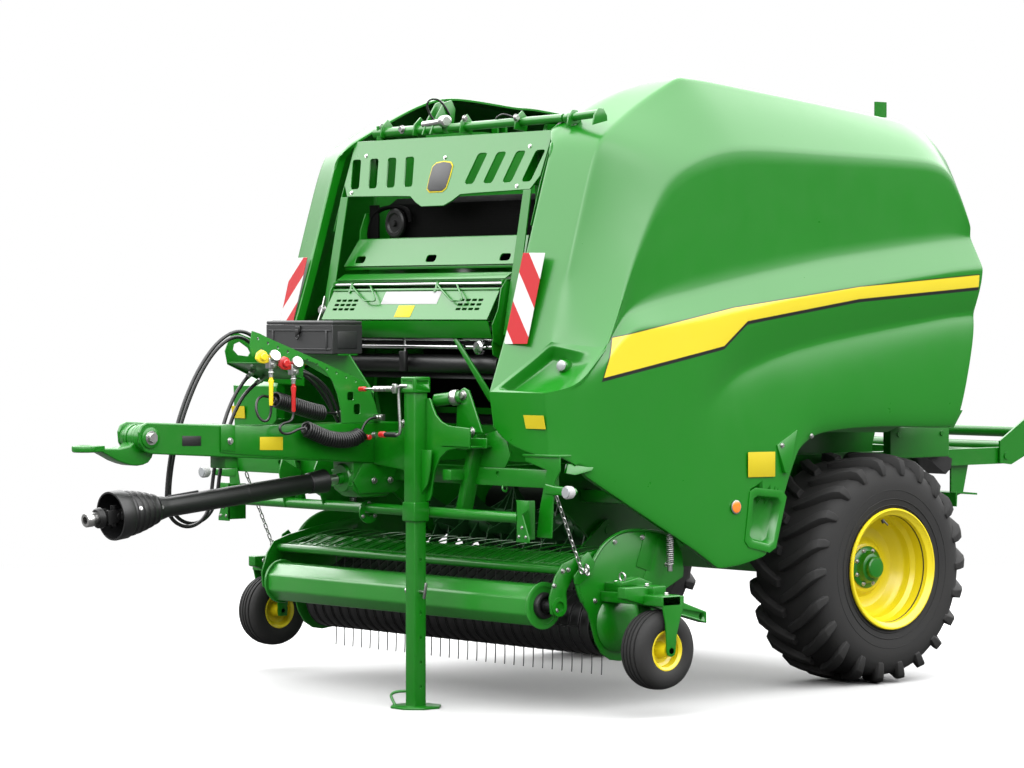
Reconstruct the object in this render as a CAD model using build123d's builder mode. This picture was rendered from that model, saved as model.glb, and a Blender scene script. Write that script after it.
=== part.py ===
from build123d import *
import os
from math import atan2, degrees, hypot, radians, tan

# Round baler, towed and parked on its jack. Millimetres.
# +Z is up, forward is -Y, the machine's left side is +X.
# Side views are drawn as (to the rear, up) from the axle's centre.
# Front views are drawn as (to the machine's left, up) from the axle's centre.

# ---------------------------------------------------------------- driving sizes
CHAMBER_HALF = 605  # half the bale chamber's width
WALL = 25
RAIL_X = CHAMBER_HALF + WALL  # a rail's inner face
RAIL_WIDTH = 70
RAIL_BOTTOM, RAIL_TOP = 475, 562
CROSS_FRONT = -2300  # the front crossmember's front face
CROSS_DEPTH = 60
CROSS_HALF = 1170
RAIL_REAR = 1500

TYRE_RADIUS = 580  # to the lugs' tips
TYRE_WIDTH = 480
TYRE_GAP = 30  # between a rail and its tyre
LUG_HEIGHT = 32
LUG_COUNT = 22
BEAD_RADIUS = 286
RIM_WALL = 12
RIM_FLANGE = 300
RIM_WIDTH = 480
WHEEL_X = RAIL_X + RAIL_WIDTH + TYRE_GAP + TYRE_WIDTH / 2  # a wheel's middle
HUB_RADIUS = 78
SPINDLE_RADIUS = 35
RUNNING_GAP = 0.06  # between a shaft and its bore, on the radius
AXLE_Y = 1200  # the axle, behind the machine's middle

BEAM_HALF = 90  # half the drawbar beam's width
BEAM_TOP = 760
DRAWBAR_REAR = -1790
HITCH_PIN_Y, HITCH_PIN_Z = -3745, 714
HITCH_DRUM = 60
HITCH_EYE_Y, HITCH_EYE_Z = -4040, 669
HITCH_EYE_BORE = 25
HITCH_EYE_RADIUS = 60
HITCH_EYE_THICK = 32

JACK_X, JACK_Y = 445, -2470
JACK_TUBE = 80
JACK_WALL = 5
JACK_TOP, JACK_BOTTOM = 983, 300
JACK_FOOT = 125
JACK_FOOT_THICK = 10

PTO_FRONT = (-4040, 345)  # side view, the front yoke's end
PTO_REAR = (-2600, 489)  # side view, the gearbox input
PTO_SHAFT = 25
PTO_TUBE = 42
PTO_TUBE_WALL = 5
PTO_BELL = 112
PTO_BORE = 17.5

REEL_Y, REEL_Z = -1800, -185
TINE_RADIUS = 244
TINE_WIRE = 6
TINE_PITCH = 70
TINE_COUNT = 30
BAND_OUTER = 147
BAND_WALL = 8
BAND_GAP = 18
REEL_BAR = 90  # radius of the circle of tine bars
PICKUP_PLATE_X = TINE_COUNT * TINE_PITCH / 2 + 80  # a side plate's inner face
PLATE = 12
PIVOT_Y, PIVOT_Z = -1430, 230
PIVOT_RADIUS = 25
PIN_GAP = 0.3  # between a pin and its eye, and at a shaft's ends
ROTOR_RADIUS = 220

ROLLER_Y, ROLLER_Z = -2160, -80
ROLLER_RADIUS = 108
ROLLER_SHAFT = 25
GUARD_ARM_X = PICKUP_PLATE_X - 30
ROLLER_HALF = GUARD_ARM_X - 100
GUARD_PIVOT_Y, GUARD_PIVOT_Z = -1610, 190
GUARD_PIPE_Y, GUARD_PIPE_Z = -2100, 85

GAUGE_X, GAUGE_Y, GAUGE_Z = PICKUP_PLATE_X + 341, -1870, -270
GAUGE_RADIUS = 185
GAUGE_WIDTH = 150
GAUGE_RIM = 85
GAUGE_AXLE = 12

HOOD_WALL = 25
HOOD_INNER = RAIL_X + 35
HOOD_HINGE_X, HOOD_HINGE_Z = RAIL_X + 32, 2270
HOOD_HINGES = (-1000, -350)
HINGE_PIN = 12

GATE_Y, GATE_Z = 150, 1960  # the gate's pivot
GATE_FOOT_Y, GATE_FOOT_Z = 480, 420  # its lower roller
GATE_ROLLER = 85
BELT = 8
BELT_HALF = CHAMBER_HALF - 45
BELT_SPLIT = 10  # half the gap between the two belts

AXLE_Z = TYRE_RADIUS
JACK_LEG = JACK_TUBE - 2 * JACK_WALL - 2 * PIN_GAP

HOSE_RADIUS = 9
AIR_RADIUS = 6.5
COIL_RADIUS = 32.5  # a curly hose, over its turns
SOCKET_RADIUS = 13
SLEEVE = 134  # the length of the sleeve below a coupling head
COUPLING = 130  # the height of a coupling head
HOSES = {
    # the machine's left, to the rear, up
    "a": ((-70, -2895, 1065), (-78, -2985, 1145), (-92, -3095, 1212), (-110, -3210, 1160),
          (-128, -3312, 1030), (-142, -3390, 868), (-152, -3442, 700), (-157, -3472, 530),
          (-160, -3480, 372), (-163, -3430, 303), (-166, -3348, 276), (-169, -3266, 303),
          (-172, -3216, 372), (-174, -3198, 520), (-174, -3163, 680), (-172, -3112, 830),
          (-168, -3045, 940), (-163, -2990, 992)),
    "b": ((-112, -2895, 1055), (-120, -2985, 1125), (-132, -3085, 1180), (-146, -3190, 1128),
          (-158, -3282, 1005), (-168, -3355, 850), (-176, -3408, 690), (-183, -3438, 530),
          (-190, -3442, 393), (-197, -3386, 316), (-203, -3296, 287), (-208, -3206, 316),
          (-212, -3150, 393), (-212, -3130, 540), (-208, -3100, 690), (-200, -3052, 820),
          (-190, -2990, 915), (-180, -2925, 958)),
}
AIR_HOSES = {
    # the route, and the coiled stretch's first and last point
    "yellow": (((130, -3085, 852), (130, -3085, 812), (122, -3102, 775), (112, -3137, 785),
                (100, -3152, 830), (88, -3137, 878), (74, -3095, 898), (60, -3050, 890),
                (50, -3010, 880), (45, -2930, 860), (40, -2850, 838), (36, -2770, 818),
                (32, -2700, 806), (25, -2650, 803), (25, -2605, 803)), 8, 12),
    "red": (((130, -2953, 820), (130, -2953, 790), (133, -2984, 771), (136, -3022, 768),
             (139, -3045, 749), (141, -3035, 724), (142, -3003, 716), (142, -2970, 724),
             (142, -2935, 738), (142, -2898, 742), (142, -2850, 724), (142, -2797, 703),
             (142, -2745, 688), (142, -2693, 681), (142, -2640, 680), (142, -2591, 688),
             (141, -2552, 712), (140, -2542, 745), (139, -2518, 770), (135, -2484, 784),
             (135, -2450, 784)), 9, 16),
}


def side_view(x):
    return Plane(origin=(x, AXLE_Y, AXLE_Z), x_dir=(0, 1, 0), z_dir=(1, 0, 0))


def front_view(y):
    return Plane(origin=(0, AXLE_Y + y, AXLE_Z), x_dir=(1, 0, 0), z_dir=(0, -1, 0))


def top_view(z):
    return Plane(origin=(0, AXLE_Y, AXLE_Z + z), x_dir=(1, 0, 0), z_dir=(0, 0, 1))


def along(points_y_z, x):
    """The plane across a line in side view, at its first point, and its length."""
    (y0, z0), (y1, z1) = points_y_z
    length = hypot(y1 - y0, z1 - z0)
    start = (x, AXLE_Y + y0, AXLE_Z + z0)
    return Plane(origin=start, x_dir=(1, 0, 0), z_dir=(0, y1 - y0, z1 - z0)), length


def place_of(point):
    """A point given as (left, to the rear, up) from the axle, as a place in the part."""
    x, y, z = point
    return Vector(x, AXLE_Y + y, AXLE_Z + z)


def hose_tube(name, route, radius):
    """A round hose along its route: straight runs joined by the largest arcs that fit."""
    places = [place_of(point) for point in route]
    bends = []
    for before, corner, after in zip(places, places[1:], places[2:]):
        run_in, run_out = corner - before, after - corner
        half_turn = radians(run_in.get_angle(run_out)) / 2
        bends.append(0.45 * min(run_in.length, run_out.length) / tan(half_turn))
    with BuildPart() as tube:
        with BuildLine() as path:
            FilletPolyline(*places, radius=bends)
        with BuildSketch(Plane(origin=places[0], z_dir=places[1] - places[0])) as section:
            Circle(radius)
        sweep()
    length = path.wire().length
    print(name, "length", round(length), "bends", [round(bend) for bend in bends])
    print(name, "volume over section times length", tube.part.volume / (section.sketch.area * length))
    return tube


pieces = {}
SIDES = {"left": 1, "right": -1}

# ---------------------------------------------------------------- main wheels
half = TYRE_WIDTH / 2
TREAD_RADIUS = TYRE_RADIUS - LUG_HEIGHT
TYRE_PROFILE = (
    # from the wheel's middle, from the axle
    (-half + 30, BEAD_RADIUS), (-half + 10, BEAD_RADIUS + 45), (-half, BEAD_RADIUS + 135),
    (-half + 6, TYRE_RADIUS - 105), (-half + 30, TYRE_RADIUS - 58), (-half + 75, TREAD_RADIUS - 6),
    (0, TREAD_RADIUS),
    (half - 75, TREAD_RADIUS - 6), (half - 30, TYRE_RADIUS - 58), (half - 6, TYRE_RADIUS - 105),
    (half, BEAD_RADIUS + 135), (half - 10, BEAD_RADIUS + 45), (half - 30, BEAD_RADIUS),
)
TYRE_INSIDE = (
    (-half + 60, BEAD_RADIUS - 1), (-half + 34, BEAD_RADIUS + 50), (-half + 24, BEAD_RADIUS + 135),
    (-half + 34, TYRE_RADIUS - 118), (-half + 70, TYRE_RADIUS - 76), (half - 70, TYRE_RADIUS - 76),
    (half - 34, TYRE_RADIUS - 118), (half - 24, BEAD_RADIUS + 135), (half - 34, BEAD_RADIUS + 50),
    (half - 60, BEAD_RADIUS - 1),
)
LUG_SECTION = (
    # a lug's room, from the wheel's middle outwards, from the axle
    (0, TREAD_RADIUS - 10), (0, TYRE_RADIUS), (half - 80, TYRE_RADIUS - 3), (half - 25, TYRE_RADIUS - 22),
    (half, TYRE_RADIUS - 72), (half, TYRE_RADIUS - 118), (half - 16, TYRE_RADIUS - 104),
    (half - 45, TREAD_RADIUS - 32),
)
LUG_PLAN = (
    # from above at the tyre's top: from the wheel's middle outwards, to the rear
    (5, -80), (5, -30), (110, 25), (200, 95), (half, 105), (half, 45), (205, 35), (115, -35),
)
for side, sign in SIDES.items():
    wheel_axis = Axis((0, AXLE_Y, AXLE_Z), (1, 0, 0))
    lugs = []
    for row in (1, -1):
        with BuildPart() as lug:
            with BuildSketch(top_view(TREAD_RADIUS - 80)):
                Polygon(*[(sign * WHEEL_X + row * x, y) for x, y in LUG_PLAN])
            extrude(amount=120)
            with BuildSketch(front_view(0)) as lug_room:
                Polygon(*[(sign * WHEEL_X + row * x, r) for x, r in LUG_SECTION])
            revolve(lug_room.sketch, axis=wheel_axis, mode=Mode.INTERSECT)
        for number in range(LUG_COUNT):
            lugs.append(lug.part.rotate(wheel_axis, (number + (1 - row) / 4) * 360 / LUG_COUNT))
    with BuildPart() as tyre:
        with BuildSketch(front_view(0)):
            Polygon(*[(sign * (WHEEL_X + x), r) for x, r in TYRE_PROFILE])
            Polygon(*[(sign * (WHEEL_X + x), r) for x, r in TYRE_INSIDE], mode=Mode.SUBTRACT)
        revolve(axis=wheel_axis)
        add(lugs)
    pieces[f"tyre_{side}"] = tyre

    edge = RIM_WIDTH / 2 + RIM_WALL
    inner = BEAD_RADIUS - RIM_WALL
    bore = SPINDLE_RADIUS + RUNNING_GAP
    RIM_PROFILE = (
        (-edge, RIM_FLANGE),
        (-edge + RIM_WALL, RIM_FLANGE),
        (-edge + RIM_WALL, BEAD_RADIUS),
        (edge - RIM_WALL, BEAD_RADIUS),
        (edge - RIM_WALL, RIM_FLANGE),
        (edge, RIM_FLANGE),
        (edge, inner),
        (60, inner),
        (45, inner - 20),
        (25, 150),
        (40, 120),
        (60, HUB_RADIUS + 30),
        (60, HUB_RADIUS - 20),
        (120, HUB_RADIUS - 22),
        (120, 0),
        (100, 0),
        (100, bore),
        (-60, bore),
        (-60, HUB_RADIUS),
        (44, HUB_RADIUS),
        (44, 112),
        (25, 140),
        (8, 150),
        (28, inner - 20),
        (34, inner),
        (-edge, inner),
    )
    with BuildPart() as rim:
        with BuildSketch(front_view(0)):
            Polygon(*[(sign * (WHEEL_X + x), r) for x, r in RIM_PROFILE])
        revolve(axis=wheel_axis)
    pieces[f"rim_{side}"] = rim

# ---------------------------------------------------------------- axle
AXLE_BEAM = 120
AXLE_HALF = RAIL_X + RAIL_WIDTH
SPINDLE_END = WHEEL_X + 95
with BuildPart() as axle:
    with BuildSketch(side_view(-AXLE_HALF)):
        Rectangle(AXLE_BEAM, AXLE_BEAM)
    extrude(amount=2 * AXLE_HALF)
    with BuildSketch(side_view(-SPINDLE_END)):
        Circle(SPINDLE_RADIUS)
    extrude(amount=2 * SPINDLE_END)
    # the hanger plates up to the rails
    for sign in SIDES.values():
        with BuildSketch(side_view(sign * (RAIL_X + RAIL_WIDTH / 2) - RAIL_WIDTH / 2)):
            Polygon((-90, 0), (90, 0), (220, RAIL_BOTTOM), (-220, RAIL_BOTTOM))
        extrude(amount=RAIL_WIDTH)
pieces["axle"] = axle

# ---------------------------------------------------------------- frame
RAMP_Y, RAMP_Z, RAMP_PIN = 1430, 518, 20
with BuildPart() as chassis_rails:
    with BuildSketch(top_view(RAIL_BOTTOM)):
        for sign in SIDES.values():
            with Locations((sign * (RAIL_X + RAIL_WIDTH / 2), (CROSS_FRONT + CROSS_DEPTH + RAIL_REAR) / 2)):
                Rectangle(RAIL_WIDTH, RAIL_REAR - CROSS_FRONT - CROSS_DEPTH)
        with Locations((0, 1240)):
            Rectangle(2 * RAIL_X, 80)
    extrude(amount=RAIL_TOP - RAIL_BOTTOM)
    # the low channel at the rear and its hangers
    with BuildSketch(side_view(-AXLE_HALF)):
        Polygon(
            (1045, 256), (1045, 330), (1055, 337), (1215, 323), (1215, 313), (1057, 327), (1053, 256),
        )
    extrude(amount=2 * AXLE_HALF)
    for sign in SIDES.values():
        with BuildSketch(side_view(sign * (AXLE_HALF - 40) - PLATE / 2)):
            Polygon((1046, 300), (1140, 325), (1180, RAIL_BOTTOM), (1046, RAIL_BOTTOM))
        extrude(amount=PLATE)
        # the pin that the bale ramp tilts on
        with BuildSketch(side_view(sign * (AXLE_HALF + 12) - 12)):
            with Locations((RAMP_Y, RAMP_Z)):
                Circle(RAMP_PIN)
        extrude(amount=24)
pieces["chassis_rails"] = chassis_rails

with BuildPart() as wheel_chock:
    with BuildSketch(side_view(AXLE_HALF)):
        Polygon((650, 545), (700, 580), (870, 520), (860, 470), (820, 440))
    extrude(amount=130)
pieces["wheel_chock"] = wheel_chock

with BuildPart() as front_crossmember:
    with BuildSketch(side_view(-CROSS_HALF)):
        with Locations((CROSS_FRONT + CROSS_DEPTH / 2, (RAIL_BOTTOM + RAIL_TOP) / 2)):
            Rectangle(CROSS_DEPTH, RAIL_TOP - RAIL_BOTTOM)
            Rectangle(CROSS_DEPTH - 16, RAIL_TOP - RAIL_BOTTOM - 16, mode=Mode.SUBTRACT)
    extrude(amount=2 * CROSS_HALF)
    # end brackets that carry the lower bar
    BAR_Y, BAR_Z, BAR_RADIUS = -2400, 343, 25
    for sign in SIDES.values():
        with BuildSketch(side_view(sign * (CROSS_HALF - PLATE / 2) - PLATE / 2)):
            Polygon(
                (-2300, 562), (-2240, 562), (-2250, 440), (-2350, 290), (-2440, 290), (-2440, 380),
                (-2330, 440),
            )
        extrude(amount=PLATE)
    with BuildSketch(side_view(-CROSS_HALF + PLATE)):
        with Locations((BAR_Y, BAR_Z)):
            Circle(BAR_RADIUS)
    extrude(amount=2 * (CROSS_HALF - PLATE))
    # the two struts between the crossmember and the bar
    for sign in SIDES.values():
        with BuildSketch(side_view(sign * 650 - 25)):
            Polygon((-2300, 540), (-2240, 540), (-2370, 343), (-2420, 343))
        extrude(amount=50)
pieces["front_crossmember"] = front_crossmember

GEARBOX_FRONT, GEARBOX_REAR = -2560, -2320
GEARBOX_HALF = 76
with BuildPart() as drawbar:
    with BuildSketch(side_view(-BEAM_HALF)):
        Polygon(
            (-3710, 640), (-3760, 645), (-3800, 690), (-3805, 740), (-3770, 786),
            (-3016, 749), (-2600, BEAM_TOP), (-2300, BEAM_TOP), (DRAWBAR_REAR, 735), (DRAWBAR_REAR, RAIL_TOP),
            (-2412, RAIL_TOP),
        )
    extrude(amount=2 * BEAM_HALF)
    # room between the cheeks for the hitch drum, and between the plates for the gearbox
    with BuildSketch(top_view(500)):
        with Locations((0, -3760)):
            Rectangle(2 * BEAM_HALF - 36, 170)
        with Locations((0, (GEARBOX_FRONT + GEARBOX_REAR) / 2)):
            Rectangle(2 * GEARBOX_HALF, GEARBOX_REAR - GEARBOX_FRONT)
    extrude(amount=400, mode=Mode.SUBTRACT)
    # the beam is a box
    with BuildSketch(side_view(-GEARBOX_HALF)):
        Polygon(
            (-3650, 650), (-3650, 768), (-3016, BEAM_TOP - 21), (-2600, BEAM_TOP - 10), (-2300, BEAM_TOP - 10),
            (DRAWBAR_REAR - 10, 725), (DRAWBAR_REAR - 10, RAIL_TOP + 10), (-2412, RAIL_TOP + 10),
        )
    extrude(amount=2 * GEARBOX_HALF, mode=Mode.SUBTRACT)
pieces["drawbar"] = drawbar

shaft_plane, shaft_length = along((PTO_FRONT, PTO_REAR), 0)
with BuildPart() as gearbox:
    with BuildSketch(side_view(-GEARBOX_HALF)):
        Polygon(
            (GEARBOX_FRONT, 440), (GEARBOX_FRONT, 700), (GEARBOX_REAR, 700),
            (GEARBOX_REAR, 562), (GEARBOX_REAR, 400), (GEARBOX_FRONT + 60, 400),
        )
    extrude(amount=2 * GEARBOX_HALF)
    # the input stub that carries the drive shaft
    with BuildSketch(shaft_plane.offset(shaft_length + PIN_GAP)):
        Circle(28)
    extrude(amount=80)
pieces["gearbox"] = gearbox

with BuildPart() as hitch_eye:
    with BuildSketch(side_view(-BEAM_HALF + 18)):
        with Locations((HITCH_PIN_Y, HITCH_PIN_Z)):
            Circle(HITCH_DRUM)
    extrude(amount=2 * BEAM_HALF - 36)
    with BuildSketch(side_view(-45)):
        Polygon(
            (HITCH_EYE_Y + HITCH_EYE_RADIUS, HITCH_EYE_Z - HITCH_EYE_THICK / 2),
            (HITCH_EYE_Y, HITCH_EYE_Z - HITCH_EYE_THICK / 2), (HITCH_EYE_Y, HITCH_EYE_Z + HITCH_EYE_THICK / 2),
            (-3880, 668), (-3820, 672), (-3790, 700), (-3700, 700),
            (-3692, 640), (-3720, 600), (-3780, 585), (-3850, 598), (-3940, 635),
        )
    extrude(amount=90)
    with BuildSketch(top_view(HITCH_EYE_Z - HITCH_EYE_THICK / 2)):
        with Locations((0, HITCH_EYE_Y)):
            Circle(HITCH_EYE_RADIUS)
    extrude(amount=HITCH_EYE_THICK)
    with BuildSketch(top_view(HITCH_EYE_Z - HITCH_EYE_THICK)):
        with Locations((0, HITCH_EYE_Y)):
            Circle(HITCH_EYE_BORE)
    extrude(amount=2 * HITCH_EYE_THICK, mode=Mode.SUBTRACT)
pieces["hitch_eye"] = hitch_eye

# ---------------------------------------------------------------- jack
with BuildPart() as jack_sleeve:
    with BuildSketch(top_view(JACK_BOTTOM)):
        with Locations((JACK_X, JACK_Y)):
            Rectangle(JACK_TUBE, JACK_TUBE)
            Rectangle(JACK_TUBE - 2 * JACK_WALL, JACK_TUBE - 2 * JACK_WALL, mode=Mode.SUBTRACT)
    extrude(amount=JACK_TOP - JACK_BOTTOM)
    with BuildSketch(top_view(JACK_TOP - 75)):
        with Locations((JACK_X, JACK_Y)):
            Rectangle(JACK_TUBE + 24, JACK_TUBE + 20)
            Rectangle(JACK_TUBE - 2, JACK_TUBE - 2, mode=Mode.SUBTRACT)
    extrude(amount=75)
    with BuildSketch(top_view(JACK_TOP - 10)):
        with Locations((JACK_X, JACK_Y)):
            Rectangle(JACK_TUBE, JACK_TUBE)
    extrude(amount=10)
    # the gusset plate back to the crossmember and the arm to the drawbar
    with BuildSketch(front_view(-2440)):
        Polygon(
            (BEAM_HALF, 600), (BEAM_HALF, 740), (JACK_X - JACK_TUBE / 2 + 2, 800),
            (JACK_X - JACK_TUBE / 2 + 2, 520),
        )
        Polygon(
            (JACK_X + 38, 800), (JACK_X + 38, 340), (JACK_X + 110, 480), (JACK_X + 200, 560),
            (JACK_X + 200, 660), (JACK_X + 110, 680),
        )
    extrude(amount=PLATE)
    with BuildSketch(top_view(500)):
        with Locations((JACK_X + 150, (CROSS_FRONT - 2440) / 2)):
            Rectangle(60, 2440 + CROSS_FRONT)
    extrude(amount=50)
pieces["jack_sleeve"] = jack_sleeve

with BuildPart() as jack_leg:
    with BuildSketch(top_view(-AXLE_Z + JACK_FOOT_THICK)):
        with Locations((JACK_X, JACK_Y)):
            Rectangle(JACK_LEG, JACK_LEG)
            Rectangle(JACK_LEG - 12, JACK_LEG - 12, mode=Mode.SUBTRACT)
    extrude(amount=AXLE_Z + JACK_BOTTOM + 180)
    with BuildSketch(top_view(-AXLE_Z)):
        with Locations((JACK_X, JACK_Y)):
            RegularPolygon(JACK_FOOT, 8)
    extrude(amount=JACK_FOOT_THICK)
pieces["jack_leg"] = jack_leg

# ---------------------------------------------------------------- drive shaft
with BuildPart() as pto_shaft:
    with BuildSketch(shaft_plane):
        Circle(34)
    extrude(amount=160)
    with BuildSketch(shaft_plane.offset(160)):
        Circle(PTO_SHAFT)
    extrude(amount=shaft_length - 240)
    with BuildSketch(shaft_plane.offset(shaft_length - 80)):
        Circle(34)
    extrude(amount=80)
    with BuildSketch(shaft_plane):
        Circle(PTO_BORE)
    extrude(amount=70, mode=Mode.SUBTRACT)
pieces["pto_shaft"] = pto_shaft

BELL_START, BELL_END = 140, 445
with BuildPart() as pto_guard:
    with BuildSketch(shaft_plane.offset(BELL_START)) as bell_front:
        Circle(PTO_BELL)
    with BuildSketch(shaft_plane.offset(BELL_END - 110)) as bell_mid:
        Circle(PTO_BELL - 15)
    with BuildSketch(shaft_plane.offset(BELL_END)) as bell_rear:
        Circle(PTO_TUBE + 12)
    loft(ruled=True)
    with BuildSketch(shaft_plane.offset(BELL_START)):
        Circle(PTO_BELL - 6)
    with BuildSketch(shaft_plane.offset(BELL_END - 110)):
        Circle(PTO_BELL - 21)
    with BuildSketch(shaft_plane.offset(BELL_END)):
        Circle(PTO_TUBE - PTO_TUBE_WALL)
    loft(ruled=True, mode=Mode.SUBTRACT)
    with BuildSketch(shaft_plane.offset(BELL_END - 10)):
        Circle(PTO_TUBE)
        Circle(PTO_TUBE - PTO_TUBE_WALL, mode=Mode.SUBTRACT)
    extrude(amount=shaft_length - BELL_END - 90)
    # bearings that carry the guard on the shaft
    for place in (BELL_END + 20, shaft_length - 180):
        with BuildSketch(shaft_plane.offset(place)):
            Circle(PTO_TUBE - 1)
            Circle(PTO_SHAFT + PIN_GAP, mode=Mode.SUBTRACT)
        extrude(amount=30)
pieces["pto_guard"] = pto_guard

# ---------------------------------------------------------------- chamber
WALL_OUTLINE = (
    # side view: to the rear, up
    (-1750, 380), (-1860, 900), (-1860, 2000), (-1800, 2190), (-1150, 2225), (250, 2130),
    (520, 1950), (560, 900), (420, 420), (150, 240), (-500, 130), (-1250, 120), (-1500, 170),
)
for side, sign in SIDES.items():
    with BuildPart() as side_wall:
        with BuildSketch(side_view(sign * (CHAMBER_HALF + WALL / 2) - WALL / 2)):
            Polygon(*WALL_OUTLINE)
        extrude(amount=WALL)
        # the stub that the pickup swings on
        with BuildSketch(side_view(sign * (RAIL_X + 17) - 17)):
            with Locations((PIVOT_Y, PIVOT_Z)):
                Circle(PIVOT_RADIUS)
        extrude(amount=34)
    pieces[f"side_wall_{side}"] = side_wall

CROSS_TUBES = (
    # side view low corner and high corner: rear, up, rear, up
    (-1790, 562, -1700, 735),
    (-1850, 1000, -1790, 1060),
    (-60, 2090, 0, 2150),
    (-1400, 2130, -1340, 2190),
)
with BuildPart() as cross_tubes:
    for low_y, low_z, high_y, high_z in CROSS_TUBES:
        with BuildSketch(side_view(-CHAMBER_HALF)):
            with Locations(((low_y + high_y) / 2, (low_z + high_z) / 2)):
                Rectangle(high_y - low_y, high_z - low_z)
        extrude(amount=2 * CHAMBER_HALF)
    with BuildSketch(side_view(-CHAMBER_HALF)):
        with Locations((-1800, 2130)):
            Circle(28)
    extrude(amount=2 * CHAMBER_HALF)
pieces["cross_tubes"] = cross_tubes

FRONT_LOOP = ((-1560, 1780), (-1480, 900))
with BuildPart() as chamber_rollers:
    for y, z, radius in (*[(y, z, GATE_ROLLER) for y, z in FRONT_LOOP], (-1060, 300, 100), (-1580, 700, 80)):
        with BuildSketch(side_view(-BELT_HALF - 20)):
            with Locations((y, z)):
                Circle(radius)
        extrude(amount=2 * (BELT_HALF + 20))
        with BuildSketch(side_view(-CHAMBER_HALF)):
            with Locations((y, z)):
                Circle(25)
        extrude(amount=2 * CHAMBER_HALF)
pieces["chamber_rollers"] = chamber_rollers


def belt_pair(ends):
    """Two flat belts side by side round the rollers at the two ends."""
    (y0, z0), (y1, z1) = ends
    inner = GATE_ROLLER + PIN_GAP
    turn = degrees(atan2(z1 - z0, y1 - y0))
    with BuildPart() as belts:
        for start in (-BELT_HALF, BELT_SPLIT):
            with BuildSketch(side_view(start)):
                with Locations(Location(((y0 + y1) / 2, (z0 + z1) / 2), turn)):
                    SlotCenterToCenter(hypot(y1 - y0, z1 - z0), 2 * (inner + BELT))
                    SlotCenterToCenter(hypot(y1 - y0, z1 - z0), 2 * inner, mode=Mode.SUBTRACT)
            extrude(amount=BELT_HALF - BELT_SPLIT)
    return belts


pieces["front_belts"] = belt_pair(FRONT_LOOP)

ROTOR_PITCH = 80
ROTOR_ROWS = int(BELT_HALF / ROTOR_PITCH)  # rows of fingers each side of the middle one
with BuildPart() as feed_rotor:
    with BuildSketch(side_view(-CHAMBER_HALF + 8)):
        with Locations((PIVOT_Y, PIVOT_Z)):
            Circle(70)
    extrude(amount=2 * CHAMBER_HALF - 16)
    for row in range(-ROTOR_ROWS, ROTOR_ROWS + 1):
        place = row * ROTOR_PITCH
        with BuildSketch(side_view(place - 4)):
            with Locations((PIVOT_Y, PIVOT_Z)):
                for turn in range(0, 360, 90):
                    with Locations(Location((0, 0), turn + place / 4)):
                        Polygon(
                            (0, -60), (ROTOR_RADIUS - 20, 20), (ROTOR_RADIUS, 40), (ROTOR_RADIUS - 60, 40),
                            (0, 60),
                        )
        extrude(amount=8)
    with BuildSketch(side_view(-CHAMBER_HALF + PIN_GAP)):
        with Locations((PIVOT_Y, PIVOT_Z)):
            Circle(30)
    extrude(amount=2 * (CHAMBER_HALF - PIN_GAP))
pieces["feed_rotor"] = feed_rotor

# ---------------------------------------------------------------- curtain gate
GATE_ARM_X = CHAMBER_HALF - 30
with BuildPart() as gate_frame:
    for sign in SIDES.values():
        with BuildSketch(side_view(sign * (GATE_ARM_X + 10) - 10)):
            with Locations((GATE_Y, GATE_Z), (GATE_FOOT_Y, GATE_FOOT_Z)):
                Circle(60)
            Polygon(
                (GATE_Y - 60, GATE_Z), (GATE_Y + 60, GATE_Z), (GATE_FOOT_Y + 60, GATE_FOOT_Z),
                (GATE_FOOT_Y - 60, GATE_FOOT_Z),
            )
        extrude(amount=20)
    for y, z in ((GATE_Y, GATE_Z), (GATE_FOOT_Y, GATE_FOOT_Z)):
        with BuildSketch(side_view(-BELT_HALF)):
            with Locations((y, z)):
                Circle(GATE_ROLLER)
        extrude(amount=2 * BELT_HALF)
        with BuildSketch(side_view(-GATE_ARM_X - 5)):
            with Locations((y, z)):
                Circle(25)
        extrude(amount=2 * GATE_ARM_X + 10)
    # the pivot stubs towards the walls
    with BuildSketch(side_view(-CHAMBER_HALF + PIN_GAP)):
        with Locations((GATE_Y, GATE_Z)):
            Circle(30)
    extrude(amount=2 * (CHAMBER_HALF - PIN_GAP))
pieces["gate_frame"] = gate_frame
pieces["gate_belts"] = belt_pair(((GATE_Y, GATE_Z), (GATE_FOOT_Y, GATE_FOOT_Z)))

# ---------------------------------------------------------------- front panels
GRILLE_HALF = CHAMBER_HALF + 95
with BuildPart() as grille_panel:
    PANEL_TOP, PANEL_LOW = (-1870, 2150), (-1960, 1897)
    slope, panel_height = along((PANEL_LOW, PANEL_TOP), 0)
    face = Plane(origin=slope.origin, x_dir=(1, 0, 0), z_dir=Vector(1, 0, 0).cross(slope.z_dir))
    with BuildSketch(face) as panel_sketch:
        Polygon(
            (-GRILLE_HALF, 0), (-230, 0), (-190, -25), (-90, -40), (90, -40), (190, -25), (230, 0),
            (GRILLE_HALF, 0), (GRILLE_HALF + 55, panel_height), (-GRILLE_HALF - 55, panel_height),
        )
        for number in range(4):
            with Locations((-GRILLE_HALF + 90 + 140 * number, 125)):
                SlotOverall(150, 42, rotation=90, mode=Mode.SUBTRACT)
            with Locations((GRILLE_HALF - 20 - 150 * number, 125)):
                SlotOverall(160, 46, rotation=60, mode=Mode.SUBTRACT)
    extrude(amount=8)
    for sign in SIDES.values():
        with BuildSketch(side_view(sign * (CHAMBER_HALF + WALL / 2) - 8)):
            Polygon((-1872, 2150), (-1962, 1897), (-1860, 1897), (-1860, 2150))
        extrude(amount=16)
pieces["grille_panel"] = grille_panel

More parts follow.
